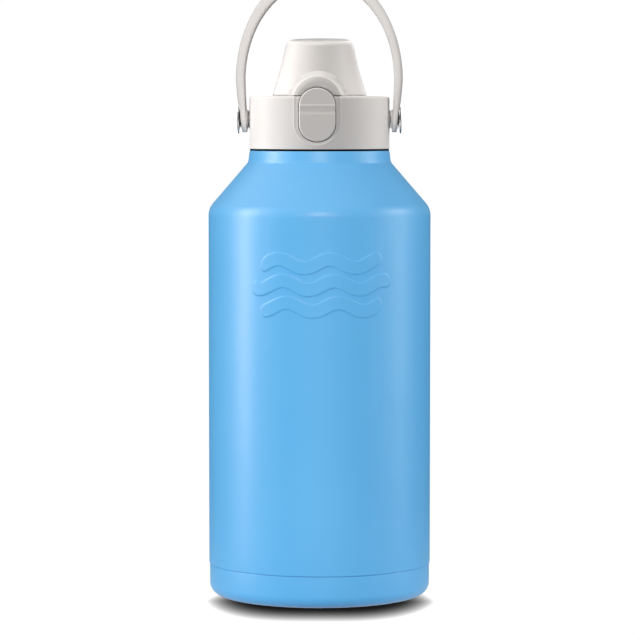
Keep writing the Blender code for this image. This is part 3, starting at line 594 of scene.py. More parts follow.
def wave_height(s, z):
    """Height of the raised waves at arc length s from the front and height z."""
    height = np.zeros(np.broadcast(s, z).shape)
    s = s - MOTIF_S
    wave_length, swing, half_stroke, edge, shorter, row_phase = 0.0270, 0.0022, 0.0038, 0.0007, 0.0055, 0.5
    for row in (-1, 0, 1):
        reach = MOTIF_HALF_LENGTH - shorter * abs(row)
        phase = math.tau * s / wave_length + row * row_phase
        slope = swing * math.tau / wave_length * np.cos(phase)
        away = np.abs(z - MOTIF_Z - row * MOTIF_PITCH - swing * np.sin(phase)) / np.sqrt(1 + slope**2)
        end = np.clip((np.abs(s) - (reach - half_stroke)) / half_stroke, 0.0, None)
        inside = half_stroke - np.hypot(away, end * half_stroke)
        height = np.maximum(height, MOTIF_RISE * smooth_step(inside / edge))
    return height


def raise_waves(rings):
    """Pushes the outer wall out where the waves are."""
    x, y, z = np.moveaxis(rings, 2, 0)
    r = np.hypot(x, y)
    s = BODY_R * (np.arctan2(y, x) + math.pi / 2)
    rise = np.where(r > BODY_R - 0.0002, wave_height(s, z), 0.0)
    scale = np.where(r > 1e-9, (r + rise) / np.maximum(r, 1e-9), 1.0)
    return np.stack([x * scale, y * scale, z], axis=2)


def shell_side(inset):
    return [
        (BODY_R - inset, SHOULDER_Z, SHOULDER_CORNER_R - inset),
        (NECK_R + 0.0008 - inset, NECK_FOOT_Z, 0.0040),
    ]


def wall_levels(bottom, top):
    """Heights up the straight wall, close together where the waves are."""
    first, last = MOTIF_Z - MOTIF_HALF_HEIGHT, MOTIF_Z + MOTIF_HALF_HEIGHT
    across = np.linspace(first, last, 110)[1:]
    return [*np.linspace(bottom, first, 12)[1:], *across, *np.linspace(last, top, 6)[1:-1]]


def make_outer_shell():
    bottom = SEAM_Z + SEAM_HALF
    side = [(BODY_R, bottom, 0.0004)] + shell_side(0.0) + [(NECK_R, NECK_TOP_Z, 0.0003)]
    inner = [
        (MOUTH_R + GAP, NECK_TOP_Z),
        (MOUTH_R + GAP, NECK_TOP_Z - WALL),
        (NECK_R - WALL, NECK_TOP_Z - WALL, 0.0006),
        *shell_side(WALL)[::-1],
        (BODY_R - WALL, bottom),
    ]
    outline = rounded(side + inner, 10)
    split = []
    for here, there in zip(outline, outline[1:] + outline[:1]):
        split.append(here)
        if min(here[0], there[0]) > BODY_R - 1e-6 and there[1] > here[1] + 2 * MOTIF_HALF_HEIGHT:
            split += [(BODY_R, z) for z in wall_levels(here[1], there[1])]
    shell = turned("outer_shell_coated", split, dense_front(130, 43.0, 0.36), shape=raise_waves)
    dress(shell, "powder_coat", "bottle", "outer_shell")


def make_base_cup():
    """The bottom cup, lapped inside the shell. The evacuation hole is in the middle of its recess."""
    rim_z, lap_r, lap_high = SEAM_Z - SEAM_HALF, BODY_R - WALL - GAP, 0.0050
    foot_inner_r, recess_r, recess_z, hole_r = 0.0495, 0.0479, 0.0034, 0.0016
    outline = rounded([
        (BASE_R, rim_z, 0.0005),
        (lap_r, rim_z),
        (lap_r, rim_z + lap_high),
        (lap_r - WALL, rim_z + lap_high),
        (lap_r - WALL, WALL, 0.0057),
        (foot_inner_r + WALL / 2, WALL, 0.0004),
        (recess_r + WALL, recess_z + WALL, 0.0004),
        (hole_r, recess_z + WALL),
        (hole_r, recess_z),
        (recess_r, recess_z, 0.0005),
        (foot_inner_r, 0.0, 0.0006),
        (BASE_R, 0.0, 0.0064),
    ], 10)
    dress(turned("base_cup_coated", outline, even_turn(224)), "powder_coat", "bottle", "base_cup")


def make_base_disc():
    """The cover disc under the base: a rounded edge, a shallow ring groove and a slight dish."""
    r, bottom, top = round_size("base_disc")
    dish, shallow_r, shallow = 0.0003, 0.0180, 0.0002
    groove_r, groove_half, groove_deep, edge = 0.0384, 0.0006, 0.00025, 0.0002
    outline = [(0.0, bottom + dish), (shallow_r, bottom + shallow)]
    for across, up in ((-2, 0.0), (-1, groove_deep), (1, groove_deep), (2, 0.0)):
        outline.append((groove_r + across * groove_half, bottom + up))
    outline += rounded([(0.0, top), (r, bottom, edge), (r, top, edge)], 4)[1:] + [(0.0, top)]
    dress(turned("base_disc_steel", outline, even_turn(192)), "flat_steel", "bottle", "base_disc")


def thread_ridges(name, buried_r, crest_r, phase):
    """Two rounded thread starts whose roots are buried in the wall. Both ends of a start run out low."""
    half_root, half_crest, crest_round, end_share, per_turn = 0.00095, 0.00040, 0.0002, 0.45, 120
    ridges = []
    steps = round(THREAD_TURNS * per_turn)
    for start in range(2):
        rings = []
        for i in range(steps + 1):
            turn = math.tau * i / per_turn
            ease = min(1.0, 10 * i / steps, 10 * (steps - i) / steps)
            crest = buried_r + (crest_r - buried_r) * (end_share + (1 - end_share) * ease)
            across = rounded([
                (buried_r, -half_root),
                (crest, -half_crest, crest_round),
                (crest, half_crest, crest_round),
                (buried_r, half_root),
            ], 3)
            angle = phase + math.pi * start + turn
            z = THREAD_FIRST_Z + THREAD_LEAD * turn / math.tau
            rings.append([(r * math.cos(angle), r * math.sin(angle), z + dz) for r, dz in across])
        ridges.append(skin(f"{name}_{start}", rings, "caps"))
    return ridges


def make_inner_liner():
    wall, lip_step_z, thread_crest_r, buried = 0.0008, NECK_TOP_Z - 0.0050, 0.0290, 0.0005
    bore = LINER_R - wall
    outline = rounded([
        (0.0, LINER_BOTTOM_Z + wall),
        (bore, LINER_BOTTOM_Z + wall, 0.0090),
        (bore, LINER_SHOULDER_Z, 0.0080),
        (MOUTH_BORE_R, NECK_FOOT_Z, 0.0050),
        (MOUTH_BORE_R, LIP_Z, 0.0006),
        (MOUTH_R, LIP_Z, 0.0006),
        (MOUTH_R, lip_step_z),
        (MOUTH_BORE_R + wall, lip_step_z - 0.0010),
        (MOUTH_BORE_R + wall, NECK_FOOT_Z, 0.0050),
        (LINER_R, LINER_SHOULDER_Z, 0.0080),
        (LINER_R, LINER_BOTTOM_Z, 0.0090),
        (0.0, LINER_BOTTOM_Z),
    ], 8)
    liner = turned("inner_liner_steel", outline, even_turn(180))
    join(liner, *thread_ridges("neck_thread", MOUTH_R - buried, thread_crest_r, 0.0))
    dress(liner, "liner_steel", "bottle", "inner_liner")


def make_gasket():
    """A little thicker than the CAD ring on both sides, so that the gaps above and below it look fine."""
    inner_r, thicker, edge = 0.0340, 0.00024, 0.00012
    r, bottom, top = round_size("neck_gasket")
    bottom, top = bottom - thicker, top + thicker
    outline = rounded([(inner_r, bottom), (r, bottom, edge), (r, top, edge), (inner_r, top)], 4)
    dress(turned("neck_gasket_ring", outline), "black_rubber", "seals", "neck_gasket")


def make_lid_seal():
    r, bottom, top = round_size("lid_seal")
    inner_r, edge = 0.0255, 0.0003
    corners = ((inner_r, bottom), (r, bottom), (r, top), (inner_r, top))
    outline = rounded([(*corner, edge) for corner in corners], 4)
    dress(turned("lid_seal_ring", outline), "silicone", "seals", "lid_seal")


# ---- Lid ----

BUTTON_GAP = 0.00035
OPENING_HALF = BUTTON_HALF + BUTTON_GAP
OPENING_BOTTOM_Z = BUTTON_BOTTOM_Z - BUTTON_GAP
OPENING_TOP_Z = BUTTON_TOP_Z + BUTTON_GAP
OPENING_BACK_Y = -0.0324
SURROUND_HALF = 0.0125
SURROUND_BOTTOM_Z = 0.2391
SURROUND_TOP_Z = 0.2750
SURROUND_DEEP = 0.0003
SURROUND_DEEPER_FROM_Z = 0.2600
SURROUND_DEEPER_OVER = 0.0150
RIM_BEAD = 0.00018
RIM_BEAD_IN = 0.00045
LID_WALL = 0.0018
DECK_THICK = 0.0020
DECK_HOLE_R = 0.0132
DECK_STEP_R = 0.0207
RIB_R = 0.0295
RIB_Z = 0.2563
NOTCH_HALF = 0.0140
NOTCH_FRONT_Y = 0.0200
NOTCH_FLOOR_Z = 0.2586
HOUSING_WALL = 0.0014
TONGUE_HALF = 0.0050
TONGUE_BOTTOM_Z = 0.2646
TONGUE_TOP_Z = 0.2680
LIP_TIP_Y = -0.0330
LIP_TOP_Z = 0.2658
HOOK_HALF = 0.0045
HOOK_TOP_Z = 0.2673


def surround_depth(x, z):
    """How far the slope round the button lies inside the lid's surface."""
    inner = stadium_distance(x, z, OPENING_HALF, OPENING_BOTTOM_Z, OPENING_TOP_Z)
    outer = -stadium_distance(x, z, SURROUND_HALF, SURROUND_BOTTOM_Z, SURROUND_TOP_Z)
    share = np.clip(outer / np.maximum(outer + np.maximum(inner, 0.0), 1e-9), 0.0, 1.0)
    deep = SURROUND_DEEP * (1 + 0.5 * smooth_step((z - SURROUND_DEEPER_FROM_Z) / SURROUND_DEEPER_OVER))
    bead = RIM_BEAD * np.exp(-((outer - RIM_BEAD_IN) / RIM_BEAD_IN) ** 2)
    return deep * share**1.5 - np.where(outer > 0.0, bead, 0.0)


def sink_surround(rings):
    """Pushes the lid's wall in round the button."""
    x, y, z = np.moveaxis(rings, 2, 0)
    on_wall = np.hypot(x, y) > NECK_R - 0.0012
    depth = np.where(on_wall & (y < 0) & (np.abs(x) < SURROUND_HALF + 0.001), surround_depth(x, z), 0.0)
    return np.stack([x, y + depth, z], axis=2)


def hinge_lug(name, start, end):
    radius, foot = 0.0034, NOTCH_FLOOR_Z - HOUSING_WALL / 2
    side = arc_points((HINGE_Y, HINGE_Z), radius, 0, 180, 24)
    return prism(name, side + [(HINGE_Y - radius, foot), (HINGE_Y + radius, foot)], "X", start, end)


def button_lug(name, start, end):
    """A lug inside the lid's wall that holds one end of the button's pin."""
    return block(name, (start, -0.0344, 0.2566), (end, -0.0313, 0.2645))


def boss(side, axis):
    """A round boss that the handle's bush stands on."""
    foot_r, waist_r, end_r, root = 0.0062, 0.0050, 0.00425, NECK_R - 0.0013
    outline = rounded([
        (0.0, root),
        (foot_r, root),
        (foot_r, NECK_R - 0.0004),
        (waist_r, NECK_R + 0.0001, 0.0006),
        (end_r, BOSS_END_X, 0.00025),
        (0.0, BOSS_END_X),
    ], 5)
    return turned(f"boss_{side}", outline, even_turn(64), axis, (0.0, 0.0, PIVOT_Z))


def hinge_housing():
    """The box under the notch, kept inside the lid's wall."""
    housing = block(
        "hinge_housing",
        (-NOTCH_HALF - HOUSING_WALL, NOTCH_FRONT_Y - HOUSING_WALL, NOTCH_FLOOR_Z - HOUSING_WALL),
        (NOTCH_HALF + HOUSING_WALL, NECK_R, DECK_Z - DECK_THICK / 2),
    )
    limit_r, limit_z = NECK_R - LID_WALL / 3, (0.25, 0.27)
    limit = [(0.0, limit_z[0]), (limit_r, limit_z[0]), (limit_r, limit_z[1]), (0.0, limit_z[1])]
    return combine(housing, [turned("housing_limit", limit)], "INTERSECT")


def make_lid_collar():
    under = DECK_Z - DECK_THICK
    outline = rounded([
        (DECK_HOLE_R, BOSS_Z, 0.0003),
        (DECK_STEP_R, BOSS_Z, 0.0003),
        (DECK_STEP_R, DECK_Z),
        (NECK_R, DECK_Z, 0.0017),
        (NECK_R, LID_BOTTOM_Z, 0.0002),
        (NECK_R - LID_WALL, LID_BOTTOM_Z),
        (NECK_R - LID_WALL, under),
        (INSERT_R, under),
        (INSERT_R, RIB_Z),
        (RIB_R, RIB_Z),
        (RIB_R, under),
        (DECK_HOLE_R, under),
    ], 8)
    outline = dense(outline, 0.00028, lambda a, b: min(a[0], b[0]) > NECK_R - 1e-6)
    collar = turned("lid_collar_moulded", outline, dense_front(110, 22.5, 0.40), shape=sink_surround)
    bosses = [boss("left", "-X"), boss("right", "X")]
    join(collar, hinge_housing(), *bosses)
    notch = rounded([
        (-NOTCH_HALF, NOTCH_FRONT_Y, 0.0012),
        (NOTCH_HALF, NOTCH_FRONT_Y, 0.0012),
        (NOTCH_HALF, FAR),
        (-NOTCH_HALF, FAR),
    ], 5)
    cut(collar, prism("notch", notch, "Z", NOTCH_FLOOR_Z, DECK_Z + 0.0100))
    join(
        collar,
        *both_sides("lug", hinge_lug, 0.0098, 0.0145),
        *both_sides("button_lug", button_lug, 0.0103, 0.0128),
    )
    opening = stadium(OPENING_HALF, OPENING_BOTTOM_Z, OPENING_TOP_Z, 48)
    cut(
        collar,
        prism("opening", opening, "Y", -FAR, OPENING_BACK_Y),
        across_middle("tongue_slot", TONGUE_HALF + 2 * GAP, (-0.0345, -0.0305), (0.2630, TONGUE_TOP_Z)),
        x_cylinder("pin_hole", (HINGE_Y, HINGE_Z), HINGE_PIN_R + GAP, -0.0138, 0.0165, 32),
        x_cylinder("rocker_hole", (ROCKER_Y, ROCKER_Z), BUTTON_PIN_R + GAP, -0.0122, 0.0140, 32),
        x_cylinder("rivet_hole", (0.0, PIVOT_Z), SHANK_R + GAP, -FAR, FAR, 48),
    )
    dress(collar, "lid_plastic", "lid", "lid_collar")


def make_lid_insert():
    """The threaded inner part: a skirt with the thread, a plug rim inside the mouth and the spout."""
    ceiling, thick, skirt_z, skirt_bore_r = 0.2523, 0.0020, low("lid_insert").z, 0.0294
    plug_r, plug_z, plug_wall = 0.0252, 0.2430, 0.0018
    bore_r, spout_r = 0.0105, 0.0125
    outline = rounded([
        (bore_r, SPOUT_TOP_Z, 0.0009),
        (spout_r, SPOUT_TOP_Z, 0.0009),
        (spout_r, ceiling + thick, 0.0010),
        (RIB_R, ceiling + thick),
        (RIB_R, RIB_Z - GAP),
        (INSERT_R, RIB_Z - GAP),
        (INSERT_R, skirt_z, 0.0004),
        (skirt_bore_r, skirt_z, 0.0004),
        (skirt_bore_r, ceiling, 0.0004),
        (plug_r, ceiling),
        (plug_r, plug_z, 0.0007),
        (plug_r - plug_wall, plug_z, 0.0007),
        (plug_r - plug_wall, ceiling, 0.0008),
        (bore_r, ceiling, 0.0008),
    ], 6)
    insert = turned("lid_insert_moulded", outline, even_turn(180))
    join(insert, *thread_ridges("lid_thread", skirt_bore_r + 0.0005, 0.02805, math.pi / 2))
    dress(insert, "inner_plastic", "lid", "lid_insert")


# ---- Flip cap ----

CAP_WALL = 0.0020
CAP_SIDE_TOP_Z = 0.2912
CAP_TOP_Z = 0.2950
CAP_CEILING_Z = 0.2924
CAP_SLOPE = 0.3406
CAP_HOLLOW = 2.78
CAP_TILT = 5.3
CAP_TILT_FROM_Z = 0.2810
DISH_DEEP = 0.0006
HOOD_R = 0.0129
HOOD_ARC_Z = 0.2625
HOOD_BACK_Y = -0.0165
HOOD_LENGTH = 0.0190
HOOD_LEAN = 0.0009
HOOD_DEEP = 0.0012
HOOD_RIM_ROUND = 0.00038
HOOD_FLARE = 0.0030


def cap_side_r(z):
    up = np.asarray(z) - CAP_RIM_Z
    return CAP_RIM_R - CAP_SLOPE * up + CAP_HOLLOW * up**2


def lean_top(rings):
    """Tips the cap's top towards the front and hollows a shallow finger dish in it."""
    x, y, z = np.moveaxis(rings, 2, 0)
    share = smooth_step((z - CAP_TILT_FROM_Z) / (CAP_SIDE_TOP_Z - CAP_TILT_FROM_Z))
    tipped = z + math.tan(math.radians(CAP_TILT)) * y * share
    dish_flat_r, dish_slope = 0.0020, 0.0060
    dish = DISH_DEEP * (1 - smooth_step((np.hypot(x, y) - dish_flat_r) / dish_slope))
    return np.stack([x, y, tipped - np.where(z > CAP_TOP_Z - 0.0002, dish, 0.0)], axis=2)


def hood_point(radius, share, centre_z):
    """A point of the hood's front view on an arc about (0, centre_z) that ends at the cap's rim."""
    first = math.asin((CAP_RIM_Z - centre_z) / radius)
    angle = first + share * (math.pi - 2 * first)
    return radius * math.cos(angle), centre_z + radius * math.sin(angle)


def hood_surface_y(x):
    return -math.sqrt(HOOD_REACH**2 - x**2)


def hood_section(share):
    """One section of the hood: opening wall, sloping face, crisp rim, side that flares into the cone."""
    inner_x, inner_z = hood_point(OPENING_HALF, share, OPENING_TOP_Z - OPENING_HALF)
    rim_x, rim_z = hood_point(HOOD_R - HOOD_RIM_ROUND, share, HOOD_ARC_Z)
    over_top = math.sin(math.pi * share)
    lean = HOOD_LEAN * over_top
    deep = HOOD_DEEP * (0.85 + 0.35 * over_top)
    points = [(inner_x, LIP_TIP_Y, inner_z), (inner_x, hood_surface_y(inner_x) + deep + 0.0004, inner_z)]
    for t in np.linspace(0.0, 1.0, 15).tolist():
        x, z = inner_x + (rim_x - inner_x) * t, inner_z + (rim_z - inner_z) * t
        points.append((x, hood_surface_y(x) + deep * (1 - t) ** 3 + lean * t**2, z))
    for angle in np.radians(np.linspace(0.0, 90.0, 7))[1:].tolist():
        x, z = hood_point(HOOD_R - HOOD_RIM_ROUND * (1 - math.sin(angle)), share, HOOD_ARC_Z)
        points.append((x, hood_surface_y(x) + lean + HOOD_RIM_ROUND * (1 - math.cos(angle)), z))
    side_front_y = hood_surface_y(rim_x) + lean + HOOD_RIM_ROUND
    cone_y = -math.sqrt(max(float(cap_side_r(rim_z)) ** 2 - rim_x**2, 0.0))
    for t in np.linspace(0.0, 1.0, 25)[1:].tolist():
        y = side_front_y + (HOOD_LENGTH - lean - HOOD_RIM_ROUND) * t
        near = np.clip(HOOD_FLARE - (cone_y - y), 0.0, HOOD_FLARE)
        spread = HOOD_FLARE - math.sqrt(HOOD_FLARE**2 - near**2)
        x, z = hood_point(HOOD_R + spread, share, HOOD_ARC_Z)
        points.append((x, y, z))
    return points


def make_hood():
    sections = [hood_section(share) for share in np.linspace(0.0, 1.0, 73)]
    hood = skin("hood", sections, "caps")
    core = [hood_point(HOOD_R - 0.0004, share, HOOD_ARC_Z) for share in np.linspace(0.0, 1.0, 48)]
    fill = prism("hood_fill", core, "Y", LIP_TIP_Y, HOOD_BACK_Y)
    return join(hood, fill)


def knuckle_web(name, start, end):
    """A knuckle round the hinge's pin, with a web that runs up into the cap's side."""
    root_y, root_z = 0.0216, 0.2706
    lower = arc_points((HINGE_Y, HINGE_Z), 0.0032, -165, 35, 32)
    return prism(name, lower + arc_points((root_y, root_z), 0.0014, 30, 150, 8), "X", start, end)


def make_flip_cap():
    edge_r = float(cap_side_r(CAP_SIDE_TOP_Z))
    side_start_z = CAP_RIM_Z + 0.0006
    side = [(float(cap_side_r(z)), z) for z in np.linspace(side_start_z, CAP_SIDE_TOP_Z - 0.0010, 14)]
    rim = rounded([(0.0, CAP_RIM_Z), (CAP_RIM_R, CAP_RIM_Z, 0.0004), (CAP_RIM_R - 0.0002, side_start_z)], 5)
    top = rounded([(edge_r, CAP_SIDE_TOP_Z), (edge_r - 0.0012, CAP_TOP_Z, 0.0026), (0.0, CAP_TOP_Z)], 12)
    flat = [(r, CAP_TOP_Z) for r in np.linspace(top[-2][0], 0.0, 24)[1:]]
    outline = rim[:-1] + side + top[1:-1] + flat
    cap = turned("flip_cap_moulded", outline, even_turn(176), shape=lean_top)
    join(cap, make_hood(), *both_sides("web", knuckle_web, 0.0041, 0.0095))
    cavity = [(0.0, CAP_RIM_Z - 0.0010), (CAP_RIM_R - CAP_WALL, CAP_RIM_Z - 0.0010)]
    cavity += [(float(cap_side_r(z)) - CAP_WALL, z) for z in np.linspace(CAP_RIM_Z, CAP_CEILING_Z, 12)]
    cut(
        cap,
        turned("cavity", cavity + [(0.0, CAP_CEILING_Z)]),
        across_middle("hood_core", 0.0085, (-0.0298, -0.0255), (0.2600, 0.2700)),
        across_middle("hook_pocket", HOOK_HALF + 0.0010, (-0.0340, -0.0320), (0.2650, HOOK_TOP_Z + 2 * GAP)),
    )
    join(
        cap,
        across_middle("latch_tongue", TONGUE_HALF, (-0.0320, -0.0309), (TONGUE_BOTTOM_Z, TONGUE_TOP_Z)),
        across_middle("latch_lip", TONGUE_HALF, (LIP_TIP_Y, -0.0317), (TONGUE_BOTTOM_Z, LIP_TOP_Z)),
    )
    cut(cap, x_cylinder("knuckle_hole", (HINGE_Y, HINGE_Z), HINGE_PIN_R + GAP, -0.0110, 0.0110, 32))
    dress(cap, "lid_plastic", "cap", "flip_cap")


def make_cap_liner():
    top, r = high("cap_liner").z, high("cap_liner").x
    rim_z, bore_r, plate_z = 0.2878, 0.0144, 0.2906
    outline = rounded([
        (0.0, top), (r, top), (r, rim_z, 0.0003), (bore_r, rim_z, 0.0003), (bore_r, plate_z), (0.0, plate_z),
    ], 4)
    dress(turned("cap_liner_moulded", outline, even_turn(96)), "inner_plastic", "cap", "cap_liner")


def make_spout_seal():
    """A disc with a low dome that reaches into the spout's bore."""
    r, top, flat = high("spout_seal").x, high("spout_seal").z, SPOUT_TOP_Z + GAP
    dome_r, dome_deep = 0.0100, 0.0010
    dome = [(dome_r * (1 - t), flat - dome_deep * (1 - (1 - t) ** 2)) for t in np.linspace(0.0, 1.0, 12)]
    outline = rounded([(0.0, top), (r, top, 0.0003), (r, flat, 0.0005), (dome_r + 0.0001, flat)], 5) + dome
    dress(turned("spout_seal_disc", outline, even_turn(96)), "silicone", "cap", "spout_seal")


def make_pins():
    for name, node, radius, y, z in (
        ("hinge_pin_steel", "hinge_pin", HINGE_PIN_R, HINGE_Y, HINGE_Z),
        ("button_pin_steel", "button_pin", BUTTON_PIN_R, ROCKER_Y, ROCKER_Z),
    ):
        end = high(node).x
        outline = rounded([(0.0, -end), (radius, -end, 0.0003), (radius, end, 0.0003), (0.0, end)], 4)
        dress(turned(name, outline, even_turn(40), "X", (0.0, y, z)), "pin_steel", "lid", node)


def make_cap_spring():
    """A torsion spring about the pin, with two straight legs."""
    mean_r, wire_r, length, leg, blend_x = 0.0021, 0.0004, 0.0056, 0.0050, 0.0027
    turns = coil(3.5, mean_r, length, 40, -math.pi / 2)
    first = turns[0] + np.outer(np.linspace(-leg, 0.0, 8)[:-1], [0, 1, 0])
    last = turns[-1] + np.outer(np.linspace(0.0, -leg, 8)[1:], [0, 1, 0])
    path = np.vstack([first, turns, last]) + [0.0, HINGE_Y, HINGE_Z]
    spring = wire("cap_spring_wire", path, wire_r)
    spring.data.materials.append(FINISHES["pin_steel"])
    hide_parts("cap_spring")
    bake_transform(spring)


# ---- Release button ----

LUG_FRONT_Y = -0.0349
SPRING_Z = 0.2460
SPRING_BACK_Y = -0.0315
BUTTON_EDGE = 0.00075
LEDGE_Z = 0.2599
LEDGE_FOOT_Z = 0.2555
LEDGE_DEEP = 0.00050
LEDGE_LIP = 0.00030


def button_front(z, inset):
    """The front face's y: rounded edges and a finger ledge across it, with a lip along the ledge's top."""
    into_edge = np.clip(BUTTON_EDGE - inset, 0.0, BUTTON_EDGE)
    drop = BUTTON_EDGE - np.sqrt(np.maximum(BUTTON_EDGE**2 - into_edge**2, 0.0))
    ledge_high, foot_high, lip_away, lip_edge = 0.0014, 0.0020, 0.00040, 0.0004
    above = smooth_step((LEDGE_Z - z) / ledge_high)
    below = smooth_step((z - LEDGE_FOOT_Z) / foot_high)
    lip = np.where(inset > lip_edge, LEDGE_LIP * np.exp(-((z - LEDGE_Z - lip_away) / lip_away) ** 2), 0.0)
    return BUTTON_FRONT_Y + drop + LEDGE_DEEP * np.minimum(above, below) - lip


def rocker_lug(name, start, end):
    return block(name, (start, LUG_FRONT_Y, 0.2570), (end, -0.0316, 0.2610))


def make_release_button():
    """The stadium's outline, drawn in step by step from its edge to its spine."""
    fine = 0.0009
    insets = np.concatenate([np.linspace(0.0, fine, 10), np.linspace(fine, BUTTON_HALF, 46)[1:]])
    arc_steps = 160
    half_way = arc_steps + 1
    edge = np.array(stadium(BUTTON_HALF, BUTTON_BOTTOM_Z, BUTTON_TOP_Z, arc_steps))
    spine_low, spine_high = BUTTON_BOTTOM_Z + BUTTON_HALF, BUTTON_TOP_Z - BUTTON_HALF
    spine_z = np.clip(edge[:, 1], spine_low, spine_high)
    sides = np.linspace(spine_high, spine_low, 60)[1:-1]
    left = np.column_stack([np.full(len(sides), -BUTTON_HALF), sides])
    right = np.column_stack([np.full(len(sides), BUTTON_HALF), sides[::-1]])
    outline = np.vstack([edge[:half_way], left, edge[half_way:], right])
    spine = np.concatenate([spine_z[:half_way], sides, spine_z[half_way:], sides[::-1]])
    rings = []
    for inset in insets[::-1]:
        share = 1 - inset / BUTTON_HALF
        x = outline[:, 0] * share
        z = spine + (outline[:, 1] - spine) * share
        rings.append(np.column_stack([x, button_front(z, inset), z]))
    buried_y = BUTTON_BACK_Y - GAP
    for y in (buried_y, BUTTON_BACK_Y):
        rings.append(np.column_stack([outline[:, 0], np.full(len(outline), y), outline[:, 1]]))
    button = skin("release_button_moulded", rings, "last")
    post_r, post_end_y = 0.0018, -0.0336
    join(
        button,
        *both_sides("rocker_lug", rocker_lug, 0.0055, 0.0085),
        across_middle("latch_hook", HOOK_HALF, (LUG_FRONT_Y, LIP_TIP_Y - GAP), (LIP_TOP_Z + GAP, HOOK_TOP_Z)),
        prism("post", arc_points((0.0, SPRING_Z), post_r, 0, 360, 40)[:-1], "Y", buried_y, post_end_y),
    )
    cut(button, x_cylinder("rocker_hole", (ROCKER_Y, ROCKER_Z), BUTTON_PIN_R + GAP, -0.0100, 0.0100, 32))
    dress(button, "lid_plastic", "button", "release_button")


def make_button_spring():
    """A compression spring round the post, between the button's back and the lid's wall."""
    front, mean_r, wire_r = BUTTON_BACK_Y + 2 * GAP, 0.0024, 0.00025
    along = coil(3, mean_r, SPRING_BACK_Y - front, 40)
    path = np.column_stack([along[:, 1], (front + SPRING_BACK_Y) / 2 + along[:, 0], SPRING_Z + along[:, 2]])
    spring = wire("button_spring_wire", path, wire_r)
    dress(spring, "pin_steel", "lid", "button_spring")
    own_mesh(spring)


# ---- Carry handle ----

HANDLE_SPRING_Z = 0.2740
HANDLE_INNER_X = 0.0396
HANDLE_INNER_RISE = 0.0516
HANDLE_OUTER_RISE = HANDLE_TOP_Z - HANDLE_SPRING_Z
HANDLE_FOOT_Z = 0.2465
FOOT_DRAWN_IN = 0.0032
FOOT_INNER_DRAWN_IN = 0.0012
EYE_R = 0.0070
EYE_HOLE_R = 0.0033
SPOT_FACE_X = 0.0418
HEAD_RIM_X = 0.0425


def strap_section(outer, inner, width):
    """A rounded rectangle between the outer and inner points, width along Y."""
    outer, inner = np.array([outer[0], 0.0, outer[1]]), np.array([inner[0], 0.0, inner[1]])
    centre = (outer + inner) / 2
    across = (outer - inner) / np.linalg.norm(outer - inner)
    half_t, half_w = np.linalg.norm(outer - inner) / 2, width / 2
    corner = min(0.0017, 0.9 * half_w, 0.9 * half_t)
    signs = ((1, 1), (-1, 1), (-1, -1), (1, -1))
    shape = rounded([(half_t * t, half_w * w, corner) for t, w in signs], 7)
    return [centre + across * t + np.array([0.0, w, 0.0]) for t, w in shape]


def arm_edges(z):
    """The arm's outer and inner x. Both are drawn in towards its foot."""
    down = ((HANDLE_SPRING_Z - z) / (HANDLE_SPRING_Z - HANDLE_FOOT_Z)) ** 1.25
    return HANDLE_OUTER_X - FOOT_DRAWN_IN * down, HANDLE_INNER_X - FOOT_INNER_DRAWN_IN * down


def make_handle_strap():
    """Sections from the right arm's foot, over the bow, to the left arm's foot."""
    arm = []
    foot = [PIVOT_Z - EYE_R * math.cos(math.radians(angle)) for angle in np.linspace(9, 90, 22)]
    for z in foot + list(np.linspace(PIVOT_Z, HANDLE_SPRING_Z, 18)[1:-1]):
        outer, inner = arm_edges(z)
        below = max(0.0, PIVOT_Z - z)
        swell = (HANDLE_WIDTH - 2 * EYE_R) * smooth_step((z - PIVOT_Z) / (HANDLE_SPRING_Z - PIVOT_Z))
        arm.append(((outer, z), (inner, z), 2 * math.sqrt(EYE_R**2 - below**2) + float(swell)))
    bow = []
    for angle in np.linspace(0.0, math.pi, 121):
        outer = (HANDLE_OUTER_X * math.cos(angle), HANDLE_SPRING_Z + HANDLE_OUTER_RISE * math.sin(angle))
        inner = (HANDLE_INNER_X * math.cos(angle), HANDLE_SPRING_Z + HANDLE_INNER_RISE * math.sin(angle))
        bow.append((outer, inner, HANDLE_WIDTH))
    left = [((-outer[0], outer[1]), (-inner[0], inner[1]), width) for outer, inner, width in reversed(arm)]
    sections = [strap_section(*station) for station in arm + bow + left]
    strap = skin("handle_strap_moulded", sections, "caps", 40)
    pivot = (0.0, PIVOT_Z)
    pad_r, pad_end_x = 0.0050, SPOT_FACE_X - 0.0004
    signs = (-1, 1)
    join(strap, *[
        x_cylinder(f"pad_{sign}", pivot, pad_r, sign * (BOSS_END_X + GAP), sign * pad_end_x) for sign in signs
    ])
    for sign in signs:
        cut(
            strap,
            x_cylinder("spot_face", pivot, HEAD_R + 0.0004, sign * SPOT_FACE_X, sign * FAR, 96),
            x_cylinder("eye_hole", pivot, EYE_HOLE_R, sign * 0.0300, sign * (FAR + 0.0010), 48),
        )
    dress(strap, "lid_plastic", "handle", "handle_strap")


